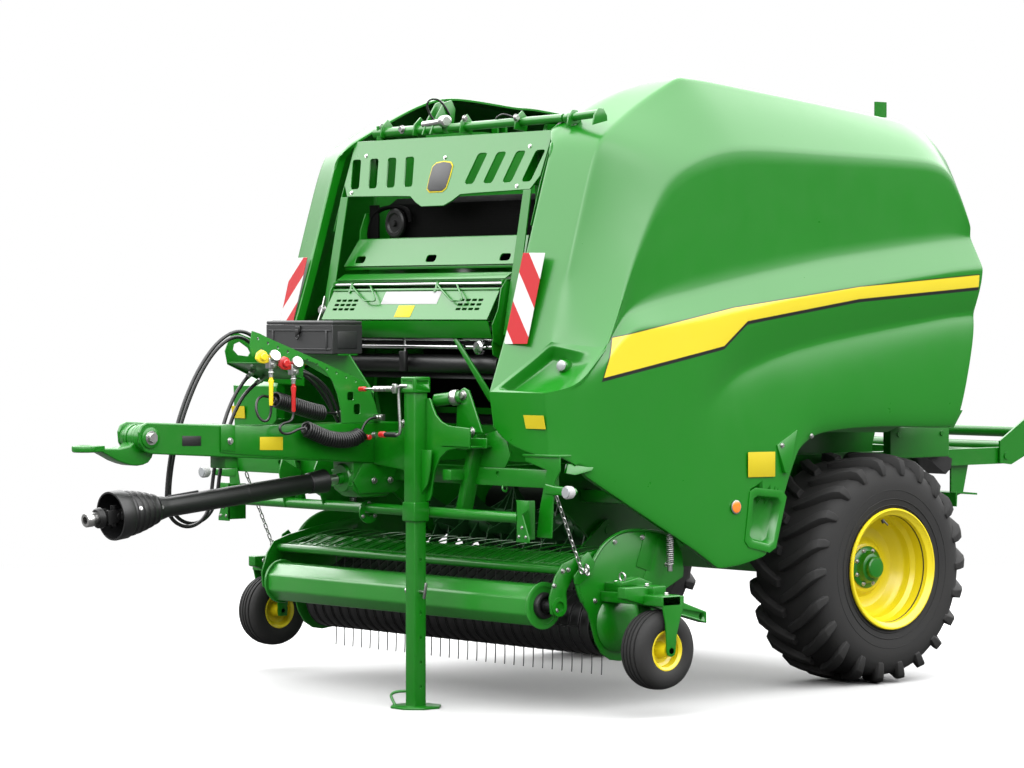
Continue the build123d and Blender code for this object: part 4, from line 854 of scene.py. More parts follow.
def hood_side(edge, foot, last):
    """The points down a hood's side from the shoulder edge to the turned-in lip, for one row of the roof."""
    x, y, z = edge
    foot_y, foot_z = foot
    fall = z - foot_z
    # how far the row lies behind the front box, and behind the start of the hollow
    front = min(1.0, max(0.0, (y + 2.062) / 0.35))
    fold = min(1.0, max(0.0, (y + 1.40) / 0.24))
    rows = []
    # each line down the side, how far out it lies, and its share of the fall where the side is still plain
    lines = ((SHOULDER_CREASE, 1.180, 0.10), (CREST, 1.25, 0.2), (BAND_FOOT, 1.25, 0.42), (HOLLOW, 1.212, 0.6),
             (HOLLOW_FOOT, 1.238, 0.72))
    ceiling = z
    for number, (line, out, even) in enumerate(lines):
        level = between(line, y)
        spread = z - fall * even
        height = min(ceiling - 0.022, level * front + spread * (1 - front))
        height = max(height, foot_z + 0.07 + 0.03 * (4 - number))
        ceiling = height
        part = (z - height) / fall
        share = (front, 1, 1, fold, fold)[number]
        side = out * share + 1.249 * (1 - share)
        rows.append((side, y + (foot_y - y) * part, height))
    # over the wheel's arch the foot turns in further
    out, edge_out, lip_out = (1.248, 1.240, 1.200) if foot_y < -0.7 else (1.246, 1.222, 1.180)
    rows += [(out, foot_y + (y - foot_y) * 0.07, foot_z + 0.06), (edge_out, foot_y, foot_z),
             (lip_out, foot_y, foot_z + 0.006)]
    if last:
        rows = [(x, between(REAR_EDGE, z), z) if z > 1.30 else (x, y, z) for x, y, z in rows]
    return [spot(*row) for row in rows]


def hood_skin():
    """The hood's outside as sheets that share their edges: the main skin, the front box and its sloping top."""
    rows = []
    for number, (inner, outer, edge, foot) in enumerate(HOOD_ROOF):
        b, c = spot(0.83 if number < 6 else 0.80, *inner), spot(1.05 if number < 7 else 0.98, *outer)
        # behind the front, the inner strip falls towards the machine's middle
        a, d = spot(0.818 if number < 6 else max(0.70, 0.98 - 0.04 * number), inner[0], inner[1] - 0.008), spot(*edge)
        turned_in = spot(a.x, inner[0] + (0.05 if inner[1] < 2.7 else 0.0), a.z - (0 if inner[1] < 2.6 else 0.012))
        roof = [turned_in, a, b, b.lerp(c, 1 / 3), b.lerp(c, 2 / 3), c]
        crown = 0.018 if number > 5 else 0.010
        for part in (1 / 3, 2 / 3):
            at = c.lerp(d, part)
            at += Vector((0, -0.012 if number < 7 else 0, crown if number > 4 else 0.0))
            roof.append(at if number else c.lerp(d, part))
        rows.append(roof + [d] + hood_side(edge, foot, number == len(HOOD_ROOF) - 1))
    # the rear edge turns in
    last = rows[-1]
    rows.append([at + Vector((0, -0.01, -0.05)) if at.z > 2.5 else at + Vector((-0.05, -0.01, 0))
                 for at in last])
    # and the rear is closed as far as the machine's middle
    rows.append([spot(0.69, min(0.56, at.y - AXLE.y) - 0.03, min(at.z, 2.30)) for at in last])
    sheets = [sheet_of(rows)]

    top, side = rows[0], rows[0][8:]
    back = [top[5], top[6], top[7], top[8]]
    left = [top[2], top[3], top[4], top[5]]
    front = [top[2], spot(0.96, -2.341, 1.497), spot(1.09, -2.341, 1.497), spot(1.200, -2.322, 1.497)]
    right = [front[3], spot(1.236, -2.258, 1.508), spot(1.249, -2.150, 1.540), back[3]]
    # the sloping top's pocket: how far across and up its points lie, and how deep each is pressed
    across, upward = (0, 0.07, 0.15, 0.33, 0.53, 0.72, 0.88, 1), (0, 0.05, 0.14, 0.4, 0.66, 0.84, 0.93, 1)
    pressed = (0, 0, 1, 1, 0.9, 0.55, 0.12, 0)

    def along(points, share):
        """A place on a line of four points."""
        number = min(2, int(share * 3))
        return points[number].lerp(points[number + 1], share * 3 - number)
    slope = []
    for v in upward:
        row = []
        for u, depth in zip(across, pressed):
            at = (along(front, u) * (1 - v) + along(back, u) * v + along(left, v) * (1 - u) + along(right, v) * u
                      - (front[0] * (1 - u) * (1 - v) + front[3] * u * (1 - v) + back[0] * (1 - u) * v
                         + back[3] * u * v))
            if 0.1 < v < 0.9:
                at += Vector((-0.02, 0.042, -0.032)) * depth
            row.append(at)
        slope.append(row)
    sheets.append(sheet_of(slope))

    loop = [spot(0.818, -2.335, 1.497), *[along(front, u) for u in across], *right[1:]]
    turn = spot(0.818, -2.285, 1.497)
    loop = [turn] + loop
    feet = [spot(0.838, -2.27, 1.33), spot(0.838, -2.322, 1.33)]
    for at in loop[2:-3]:
        drop = between(((0.83, 1.33), (0.88, 1.288), (0.95, 1.252), (1.06, 1.223), (1.172, 1.200)), at.x)
        feet.append(spot(at.x + 0.008, at.y - AXLE.y + 0.016, drop))
    feet += [spot(1.235, -2.25, 1.194), spot(1.248, -2.18, 1.165)]
    box = []
    for index, level in enumerate(side):
        share = (side[0].z - level.z) / (side[0].z - side[6].z)
        row = [edge.lerp(foot, min(1, share)) for edge, foot in zip(loop, feet)]
        if index == 7:
            row = [at + Vector((-0.04 if at.x > 1.18 else 0, 0.045 if at.x < 1.24 else 0, 0.004))
                   for at in row]
        box.append(row + [level])
    sheets.append(sheet_of(box))
    return join("hood", *sheets)


class BALER_OT_hoods(bpy.types.Operator):
    """The two big side hoods, from the front box over the roof to the rear edge, with the wheel arch"""
    bl_idname = "baler.hoods"
    bl_label = "Hoods"

    def execute(self, context):
        hood = tidy(hood_skin(), 0.0006)
        mesh = hood.data
        edit(hood, (bpy.ops.mesh.select_all, {"action": "DESELECT"}),
             (bpy.ops.mesh.select_mode, {"type": "EDGE"}),
             (bpy.ops.mesh.edges_select_sharp, {"sharpness": radians(26)}))
        # the folds keep their shape, the shoulder a softer one
        folds = {}
        for number, (_, _, edge, foot) in enumerate(HOOD_ROOF):
            line = [spot(*edge)] + hood_side(edge, foot, number == len(HOOD_ROOF) - 1)
            for level, sharp in ((0, 0.8), (1, 0.7), (2, 0.6), (4, 0.7)):
                near = min(mesh.vertices, key=lambda vertex: (vertex.co - line[level]).length)
                folds[near.index] = (level, sharp)
        crease = mesh.attributes.new("crease_edge", "FLOAT", "EDGE")
        for edge in mesh.edges:
            first, second = (folds.get(index) for index in edge.vertices)
            if first and first == second:
                crease.data[edge.index].value = first[1]
            elif edge.select:
                crease.data[edge.index].value = 0.5
        modify(hood, "SUBSURF", levels=3, render_levels=3)
        modify(hood, "SOLIDIFY", thickness=sizes().hood_wall, offset=-1)
        # the grip pocket's place is pressed in behind its tray
        for vertex in mesh.vertices:
            across, up = (vertex.co.y - AXLE.y) * 1000, (vertex.co.z - AXLE.z) * 1000
            if vertex.co.x > GRIP_SKIN and within(GRIP, across, up):
                vertex.co.x -= GRIP_DEPTH
        smooth(hood, 40)
        left, right = copies(hood, ACROSS)
        made("hood_left_panel", [left], "hood", "hood_l", "hood_left")
        made("hood_right_panel", [right], "hood", "hood_r", "hood_right")
        return {"FINISHED"}


# ---------------------------------------------------------------- wheels
TYRE_BODY = (
    # across the wheel from its middle, from the axle
    (-206, 268), (-224, 292), (-233, 330), (-238, 380), (-240, 425), (-234, 470), (-220, 505), (-192, 530),
    (-150, 541), (-75, 547), (0, 549), (75, 547), (150, 541), (192, 530), (220, 505), (234, 470), (240, 425),
    (238, 380), (233, 330), (224, 292), (206, 268), (190, 272), (205, 300), (214, 340), (216, 400), (212, 455),
    (180, 500), (0, 512), (-180, 500), (-212, 455), (-216, 400), (-214, 340), (-205, 300), (-190, 272),
)
SIDEWALL_RINGS = ((236.5, 352, 2.2), (239, 398, 1.6), (233, 322, 2.6))
TREAD_BAR = (
    # outwards at the bar's top and foot, the radius there, along the tread, half the bar's width at its top and foot
    (2, 578, 2, 536, -58, 20, 27), (50, 580, 50, 536, -38, 20, 27), (105, 580, 105, 536, -8, 21, 28),
    (155, 577, 152, 532, 26, 22, 30), (200, 570, 188, 524, 58, 24, 33), (229, 551, 212, 508, 77, 24, 33),
    (239.5, 512, 222, 492, 86, 21, 30), (240, 478, 226, 468, 90, 15, 22),
)
MAIN_RIM = (
    (-246, 302), (-236, 303), (-229, 292), (-224, 279), (-170, 276), (-120, 262), (20, 262), (120, 262), (160, 276),
    (218, 279), (226, 290), (232, 303), (242, 306), (250, 303), (251, 296), (243, 290), (236, 280), (229, 271),
    (150, 268), (128, 252), (96, 249), (84, 244), (76, 234), (62, 226), (36, 205), (26, 178), (27, 152), (36, 138),
    (52, 128), (58, 118), (59, 96), (59, 70), (50, 70), (50, 96), (49, 116), (42, 122), (26, 132), (16, 146),
    (15, 180), (26, 212), (52, 236), (60, 250), (-120, 252), (-170, 266), (-228, 269), (-240, 290),
)
MAIN_HUB = ((58, 0), (58, 104), (66, 106), (70, 102), (74, 84), (84, 76), (104, 70), (108, 62), (109, 0))
HUB_CAP = ((104, 0), (104, 56), (128, 54), (134, 48), (137, 30), (138, 0))
GAUGE_TYRE = (
    (-58, 86), (-69, 98), (-75, 118), (-75, 140), (-70, 160), (-60, 174), (-44, 180), (-40, 181), (-38, 175),
    (-32, 175), (-30, 183), (-16, 184.5), (-14, 178), (-7, 178), (-5, 185), (5, 185), (7, 178), (14, 178),
    (16, 184.5), (30, 183), (32, 175), (38, 175), (40, 181), (44, 180), (60, 174), (70, 160), (75, 140), (75, 118),
    (69, 98), (58, 86),
)
GAUGE_RIM = (
    (-66, 94), (-60, 94), (-56, 84), (56, 84), (60, 94), (66, 95), (67, 90), (58, 78), (26, 74), (18, 60), (20, 42),
    (34, 34), (66, 30), (75, 28), (75, 14), (-75, 14), (-75, 28), (-34, 34), (-20, 42), (-18, 60), (-26, 74),
    (-58, 78), (-67, 90),
)
WHEEL = tuple(AXLE * -1000)  # a main wheel is made round the scene's origin, then set on the axle
HALF_TRACK = 0.97  # metres from the machine's middle to a main wheel's
TREAD_RADIUS = 560  # along the tread, a bar's places are turned into angles at this radius


def tread_bars(lugs):
    """The tyre's bars: one is skinned, then turned round the tyre for both rows."""
    loops = []
    for station, (out, high, foot_out, low, along, top, foot) in enumerate(TREAD_BAR):
        ahead, behind = TREAD_BAR[min(station + 1, len(TREAD_BAR) - 1)], TREAD_BAR[max(station - 1, 0)]
        run, rise = ahead[0] - behind[0] + abs(ahead[1] - behind[1]), ahead[4] - behind[4]
        length = hypot(run, rise)
        slant = 0.9 if station < 5 else 0.3
        loop = []
        for across, x, radius in ((-foot, foot_out, low), (-top, out, high - 1.5), (-top * 0.7, out, high),
                                  (top * 0.7, out, high), (top, out, high - 1.5), (foot, foot_out, low)):
            angle = (along + across * run / length) / TREAD_RADIUS
            x = (x - across * rise / length * slant) / 1000
            loop.append(Vector((x if station else max(0.001, x), sin(angle) * radius / 1000,
                                cos(angle) * radius / 1000)))
        loops.append(loop + [loop[0]])
    bar = sheet_of(loops)
    edit(bar, (bpy.ops.mesh.remove_doubles, {"threshold": 0.00001}), (bpy.ops.mesh.fill_holes, {"sides": 8}),
         (bpy.ops.mesh.normals_make_consistent, {"inside": False}))
    step = tau / lugs
    row = [Matrix.Rotation(step * number, 4, "X") for number in range(1, lugs)]
    other = [Matrix.Rotation(step * (number + 0.5), 4, "X") @ ACROSS for number in range(lugs)]
    return bevel(join("tread", *copies(bar, *row, *other)), 0.0022, 1, 40)


class BALER_OT_wheels(bpy.types.Operator):
    """The main wheels: tread bars, sidewalls, the deep dished rim, hub, nuts and valve"""
    bl_idname = "baler.wheels"
    bl_label = "Main wheels"

    def execute(self, context):
        _, y, z = WHEEL
        out = (1, 0, 0)
        rings = [ring((side * away, y, z), out, radius, bead, 96)
                 for away, radius, bead in SIDEWALL_RINGS for side in SIDES.values()]
        tyre = join("tyre", turned(TYRE_BODY, WHEEL, out, 96, 50), tread_bars(sizes().lugs), *rings)
        rim = turned(MAIN_RIM, WHEEL, out, 96, 30)
        hub = join("hub", turned(MAIN_HUB, WHEEL, out, 48), turned(HUB_CAP, WHEEL, out, 48))
        nuts = []
        for number in range(8):
            angle = (number + 0.5) / 8 * tau
            middle = (59, y + cos(angle) * 88, z + sin(angle) * 88)
            nuts += [hexagon(middle, out, 13, 15), rod(middle, (82, *middle[1:]), 7, 12)]
        valve = join("valve", rod((226, y - 60, z + 250), (232, y - 56, z + 232), 9, 16),
                     rod((228, y - 60, z + 250), (258, y - 52, z + 222), 4, 12))
        pieces = (("tyre_{}_tread", smooth(tyre), "tyre", "tyre_{}"), ("rim_{}_dish", rim, "rim", "rim_{}"),
                  ("hub_{}", hub, "green"), ("wheel_nuts_{}", join("nuts", *nuts), "zinc"),
                  ("valve_{}", valve, "black"))
        for side, sign in SIDES.items():
            seat = Matrix.Translation((sign * HALF_TRACK, AXLE.y, AXLE.z)) @ Matrix.Scale(sign, 4, (1, 0, 0))
            for name, piece, look, *nodes in pieces:
                made(name.format(side), copies(piece, seat)[1:], look, f"wheel_{side}",
                     *[node.format(side) for node in nodes])
        for _, piece, *_ in pieces:
            bpy.data.objects.remove(piece, do_unlink=True)
        return {"FINISHED"}


class BALER_OT_gauge_wheels(bpy.types.Operator):
    """The pickup's small gauge wheels: ribbed tyres and dished yellow rims"""
    bl_idname = "baler.gauge_wheels"
    bl_label = "Gauge wheels"

    def execute(self, context):
        for side, sign in SIDES.items():
            middle, out, body = (sign * 1471, *GAUGE_AXLE), (sign, 0, 0), f"gauge_wheel_{side}"
            made(f"gauge_tyre_{side}_ribs", [turned(GAUGE_TYRE, middle, out, 72, 40)], "tyre", body,
                 f"gauge_tyre_{side}")
            made(f"gauge_rim_{side}_dish", [turned(GAUGE_RIM, middle, out, 72, 30)], "rim", body,
                 f"gauge_rim_{side}")
        return {"FINISHED"}


# ---------------------------------------------------------------- pickup
# places in side view: to the rear and up, in millimetres from the main axle
REEL = (-1800, -185)
ROLLER = (-2160, -80)
COVER = (REEL[0] - 20, REEL[1] + 15)  # the middle of the reel's end covers
GAUGE_AXLE = (-1870, -270)
ARCH_PLATE = (
    # side view of the pickup's side plate: to the rear, up
    (-1800, -352), (-1735, -345), (-1680, -310), (-1625, -235), (-1590, -150), (-1545, -45), (-1390, 25), (-1385, 60),
    (-1400, 145), (-1440, 205), (-1500, 236), (-1560, 250), (-1660, 259), (-1745, 260), (-1809, 250), (-1868, 226),
    (-1915, 192), (-1950, 152), (-1977, 117), (-2020, 92), (-2062, 70), (-2076, 40), (-2068, -10), (-2040, -60),
    (-2000, -115), (-1978, -180), (-1955, -250), (-1915, -310), (-1860, -343),
)
BAND_RADIUS = 147
BAR_RADIUS = 90  # from the reel's axis to each tine bar
TINE_PITCH = 70  # millimetres between two tines
FINGER_PITCH = 0.106  # metres between two fingers of the wind guard


def on_circle(middle, radius, turn):
    """A place on a circle at a turn in degrees. The place and the circle's middle are two numbers in one plane."""
    return middle[0] + cos(radians(turn)) * radius, middle[1] + sin(radians(turn)) * radius


def spring_tine(x, turn):
    """One bent tine on its bar, in side view round the reel's axis."""
    angle = radians(turn)
    way, across = Vector((0, cos(angle), sin(angle))), Vector((0, -sin(angle), cos(angle)))
    root = Vector((x, *REEL)) + way * BAR_RADIUS
    return wire([root - across * 12, root + way * 10 - across * 4, root + way * 60, root + way * 120,
                 root + way * 152 - across * 3], sizes().tine_wire * 500, 3)


def hoop_band():
    """One of the plastic bands round the reel, with a rib along each edge."""
    outline = [on_circle(REEL, BAND_RADIUS, 90 + step * 11.25) for step in range(17)]
    inner = [(y + (REEL[0] - y) * 0.06, z + (REEL[1] - z) * 0.06) for y, z in reversed(outline)]
    band = slab([(-1665, 32), (-1665, 42), (-1730, 4), *outline, *inner, (-1730, -6)], "x", -30, 60, 0.001)
    return join("band", band, *[wire([(edge, y, z) for y, z in outline], 3.4, 2) for edge in (-28, 28)])


class BALER_OT_pickup(bpy.types.Operator):
    """The pickup's side plates, bands, tine reel and its bulged end covers"""
    bl_idname = "baler.pickup"
    bl_label = "Pickup"

    def execute(self, context):
        plates = []
        fasteners = []
        for side in SIDES.values():
            out, face = (side, 0, 0), side * 1142
            plates += [
                slab(ARCH_PLATE, "x", side * 1130, side * 12, 0.002),
                wire([(side * 1140, y, z) for y, z in ARCH_PLATE[10:24]], 9, 4),
                turned(((0, 0), (0, 132), (10, 138), (16, 134), (30, 112), (42, 78), (46, 40), (46, 0)),
                       (face, *COVER), out, 40, 45),
                slab(((-1700, 90), (-1610, 60), (-1555, 235), (-1640, 250)), "x", face, side * 5, 0.0015),
                slab(((-2070, 20), (-1990, 60), (-1965, 120), (-2012, 172), (-2050, 150), (-2062, 96), (-2098, 62),
                      (-2094, 26)), "x", face, side * 10, 0.003),
                slab(((-1700, -60), (-1560, -30), (-1480, 190), (-1560, 215)), "x", face, side * 4, 0.001)]
            fasteners += heads(out, 9, 8, *[(face, y, z) for y, z in (
                (-1835, 210), (-1660, 225), (-1500, 90), (-1960, -60), (-1640, -190))], (side * 1152, -2020, 80))
            fasteners += heads(out, 6, 5, *[(side * 1150, *on_circle(COVER, 122, turn))
                                            for turn in range(0, 360, 60)])
            fasteners += [ring((side * 1196, -2060, 100), (0.3, 1, 0.2), 17, 5.5),
                          ring((side * 1190, -2052, 78), (1, 0.2, 0.2), 12, 4.5)]
        plates.append(block((-1130, -1665, 27), (1130, -1615, 77), 0.004))
        made("pickup_plates", plates, "green", "pickup", "pickup_frame")
        made("pickup_bolts", fasteners, "zinc", "pickup")

        band = hoop_band()
        shifts = [Matrix.Translation(((number - 15) * TINE_PITCH / 1000, 0, 0)) for number in range(31)]
        bands = copies(band, *shifts)[1:]
        bpy.data.objects.remove(band, do_unlink=True)
        made("pickup_band_set", bands, "black", "pickup", "pickup_bands")

        quarters = range(0, 360, 90)
        tines = []
        for turn in quarters:
            tines += copies(spring_tine(-14.5 * TINE_PITCH, turn),
                            *[Matrix.Translation((number * TINE_PITCH / 1000, 0, 0)) for number in range(1, 30)])
        made("pickup_tines", tines, "spring", "reel", "pickup_reel")
        reel = [rod((-1129, *REEL), (1129, *REEL), 20), rod((-1090, *REEL), (1090, *REEL), 40, 28)]
        for turn in quarters:
            middle = on_circle(REEL, BAR_RADIUS, turn)
            reel.append(rod((-1090, *middle), (1090, *middle), 15, 16))
        reel += [rod((x, *REEL), (x + 8, *REEL), 120, 40) for x in (-1090, 1082)]
        made("reel_bars", reel, "green", "reel")
        return {"FINISHED"}


class BALER_OT_crop_roller(bpy.types.Operator):
    """The eight-sided crop roller with its end rings, recessed hubs and shaft"""
    bl_idname = "baler.crop_roller"
    bl_label = "Crop roller"

    def execute(self, context):
        eight = range(0, 360, 45)
        pieces = [slab([on_circle(ROLLER, 103, turn + 22.5) for turn in eight], "x", -1000, 2000, 0.010, 3)]
        hubs = []
        for side in SIDES.values():
            out = (side, 0, 0)
            pieces += [
                turned(((0, 90), (0, 108), (5, 111), (9, 111), (11, 107), (11, 90)), (side * 998, *ROLLER), out, 48,
                       40),
                turned(((0, 0), (0, 92), (2, 92), (2, 62), (2, 0)), (side * 1001, *ROLLER), out, 40)]
            hubs += [
                turned(((0, 0), (0, 62), (4, 64), (20, 60), (26, 50), (26, 44), (12, 38), (12, 30), (30, 28), (34, 0)),
                       (side * 1004, *ROLLER), out, 36),
                rod((side * 1004, *ROLLER), (side * 1110, *ROLLER), 25, 24)]
            hubs += heads(out, 6, 4, *[(side * 1022, *on_circle(ROLLER, 52, turn)) for turn in eight])
        # the drum's paler green is painted sheen from the sky's reflection
        made("crop_roller_drum", pieces, "painted sheen green", "roller", "crop_roller")
        made("crop_roller_hubs", hubs, "black", "roller")
        return {"FINISHED"}


class BALER_OT_wind_guard(bpy.types.Operator):
    """The ladder frame over the crop with its long thin fingers, pipes and end arms"""
    bl_idname = "baler.wind_guard"
    bl_label = "Wind guard"

    def execute(self, context):
        y, z = -2100, 85  # the front tube
        rails = [rod((-1100, y, z), (1100, y, z), 21, 24),
                 rod((-1100, y + 90, z + 12), (1100, y + 90, z + 12), 14),
                 slab(((y + 86, z + 20), (y + 90, z + 20), (y + 196, z + 62), (y + 192, z + 64)), "x", -1020, 2040,
                      0.001),
                 block((-1060, y + 20, z + 20), (1060, y + 48, z + 24), 0.001),
                 block((-1060, y + 178, z + 56), (1060, y + 206, z + 64), 0.001)]
        strip = slab(((y, z + 12), (y, z + 18), (y + 200, z + 70), (y + 390, z + 26), (y + 388, z + 18),
                      (y + 200, z + 60)), "x", -4, 8, 0.001)
        rails += copies(strip, *[Matrix.Translation((number * FINGER_PITCH, 0, 0))
                                 for number in range(-10, 11) if number])
        finger = wire([(0, y + 40, z + 30), (0, y + 180, z + 74), (0, y + 330, z + 88), (0, y + 395, z + 84)], 4, 4)
        rails += copies(finger, *[Matrix.Translation(((number + 0.5) * FINGER_PITCH, 0, 0))
                                  for number in range(-10, 10)])[1:]
        bpy.data.objects.remove(finger, do_unlink=True)
        made("wind_guard_frame", rails, "green", "guard", "wind_guard")
        outline = ((-1590, 168), (-1590, 212), (-1670, 212), (-1860, 186), (-2040, 150), (-2135, 120), (-2180, 60),
                   (-2214, -36), (-2205, -112), (-2168, -126), (-2124, -112), (-2108, -60), (-2112, -8), (-2076, 44),
                   (-1980, 92), (-1820, 130), (-1680, 150))
        arms = []
        fasteners = []
        for side in SIDES.values():
            arms += [slab(outline, "x", side * 1100, side * 12, 0.003),
                     turned(((0, 26), (0, 44), (8, 44), (8, 26)), (side * 1112, *ROLLER), (side, 0, 0), 32)]
            fasteners += heads((side, 0, 0), 9, 9, *[(side * 1112, y, z) for y, z in (
                (-2190, 20), (-2176, -96), (-2136, 86), (-2102, 90), (-1640, 190))])
        made("guard_arm_plates", arms, "green", "guard", "guard_arms")
        made("guard_bolts", fasteners, "zinc", "guard")
        return {"FINISHED"}


class BALER_OT_gauge_brackets(bpy.types.Operator):
    """The brackets, curved legs and square arms that carry the gauge wheels"""
    bl_idname = "baler.gauge_brackets"
    bl_label = "Gauge brackets"

    def execute(self, context):
        low = -65  # the bracket's underside
        leg = ((-1925, low + 46), (-1925, low + 4), (-1906, -140), (-1900, -215), (-1898, -268), (-1891, -290),
               (-1870, -298), (-1849, -290), (-1842, -268), (-1836, -200), (-1812, -120), (-1790, low),
               (-1790, low + 46))
        for side, sign in SIDES.items():
            arm = slab(((-2046, 22), (-2046, -30), (-1524, -170), (-1524, -115), (-1925, 22)), "x", sign * 1387,
                       sign * 56, 0.005, 3)
            body = [block((sign * 1142, -1930, low), (sign * 1566, -1810, low + 50), 0.006, 3),
                    block((sign * 1142, -1900, low + 48), (sign * 1476, -1820, low + 88), 0.004),
                    slab(leg, "x", sign * 1556, sign * 10, 0.003, 3),
                    slab(((-1915, low + 10), (-1898, -298), (-1842, -298), (-1825, low + 10)), "x", sign * 1376,
                         sign * 10, 0.003),
                    cut(arm, rod((sign * 1380, -1560, -136), (sign * 1450, -1560, -136), 17, 24)),
                    slab(((-1990, 40), (-1880, 58), (-1800, 30), (-1800, 20), (-1990, 20)), "x", sign * 1300,
                         sign * 60, 0.003)]
            made(f"gauge_bracket_{side}_body", body, "green", "pickup", f"gauge_bracket_{side}")
            ends = [rod((sign * 1376, *GAUGE_AXLE), (sign * 1563, *GAUGE_AXLE), 12),
                    hexagon((sign * 1552, *GAUGE_AXLE), (sign, 0, 0), 17, 12)]
            ends += heads((0, 0, 1), 10, 10, *[(sign * x, y, low + up) for x, y, up in (
                (1200, -1880, 88), (1290, -1850, 88), (1420, -1890, 88), (1520, -1860, 50))])
            ends.append(ring((sign * 1330, -1960, 62), (0, 1, 0.1), 20, 4))
            made(f"gauge_bolts_{side}", ends, "zinc", "pickup")
        return {"FINISHED"}


LINK_PITCH = 29  # millimetres between two links


def chain_links(side):
    """The links of one lift chain, each second one turned across, and the ring at its end."""
    top, end = Vector((side * 1184, -2255, 475)), Vector((side * 1184, -2085, 95))
    way = (end - top).normalized()
    links = []
    for number in range(int((end - top).length / LINK_PITCH)):
        middle = top + way * (number * LINK_PITCH + 20)
        across = Vector((1, 0, 0)) if number % 2 else way.cross(Vector((1, 0, 0)))
        loop = []
        for turn in range(0, 360, 30):
            angle = radians(turn)
            bow = 9.5 if cos(angle) > 0.1 else -9.5 if cos(angle) < -0.1 else 0
            loop.append(middle + way * (cos(angle) * 8 + bow) + across * sin(angle) * 8)
        links.append(wire([*loop, loop[0]], 3, 2))
    return [*links, ring(end + way * 8, (0, 1, 0.4), 15, 5)]


class BALER_OT_hangers(bpy.types.Operator):
    """The pickup's hanger beams, weight springs and the lift chains with their shackles"""
    bl_idname = "baler.hangers"
    bl_label = "Hangers and chains"

    def execute(self, context):
        beams = []
        springs = []
        links = []
        for side in SIDES.values():
            beams += [block((side * 630, -1590, 370), (side * 1215, -1530, 430), 0.005, 3),
                      slab(((-1600, 430), (-1520, 430), (-1480, 560), (-1640, 560)), "x", side * 1140, side * 10,
                           0.002)]
            springs.append(coil((side * 1205, -1538, 92), (side * 1205, -1538, 330), 17, 3, 24))
            springs += [rod((side * 1205, -1538, low), (side * 1205, -1538, high), 13, 18)
                        for low, high in ((62, 96), (328, 372))]
            links += chain_links(side)
        made("hanger_beams", beams, "green", "chassis", "pickup_hangers")
        made("weight_springs", springs, "pale spring")
        made("lift_chain_links", links, "zinc", "chassis", "lift_chains")
        return {"FINISHED"}


# ---------------------------------------------------------------- front panels
def tilted(outline, low, high, start, thick, width=0.0015):
    """A plate leaning in side view from low to high. Its outline is (left, up the slope), in millimetres."""
    run, rise = high[0] - low[0], high[1] - low[1]
    length = hypot(run, rise)
    up = Vector((0, run / length, rise / length))
    out = Vector((0, -up.z, up.y))
    plate = extruded([place(*(Vector((x, *low)) + up * along + out * start)) for x, along in outline],
                     out * thick / 1000, width)
    return smooth(plate) if width else plate


def oblong(half, low, high):
    """An outline as wide on the left as on the right."""
    return (-half, low), (half, low), (half, high), (-half, high)


def rounded(low_x, low_y, high_x, high_y, radius, steps=4, lean=0.0):
    """A rectangle with round corners, leaning to one side on its way up."""
    points = []
    for x, y, first in ((high_x - radius, high_y - radius, 0), (low_x + radius, high_y - radius, 90),
                        (low_x + radius, low_y + radius, 180), (high_x - radius, low_y + radius, 270)):
        for step in range(steps + 1):
            angle = radians(first + 90 * step / steps)
            rise = y + sin(angle) * radius
            points.append((x + cos(angle) * radius + lean * (rise - low_y), rise))
    return points


def pierced(plate, holes, width=0.0012):
    """A plate with its holes cut and all its edges broken."""
    return smooth(bevel(cut(plate, *holes), width, 1, 40))


# the leaning plates' lower and upper edges in side view: to the rear, up
GRILLE = ((-1960, 1897), (-1870, 2150))
SHELF = ((-2000, 1517), (-1930, 1660))
SHELF_FRONT = ((-1900, 1380), (-1870, 1530))
LID = ((-2188, 1251), (-2102, 1400))


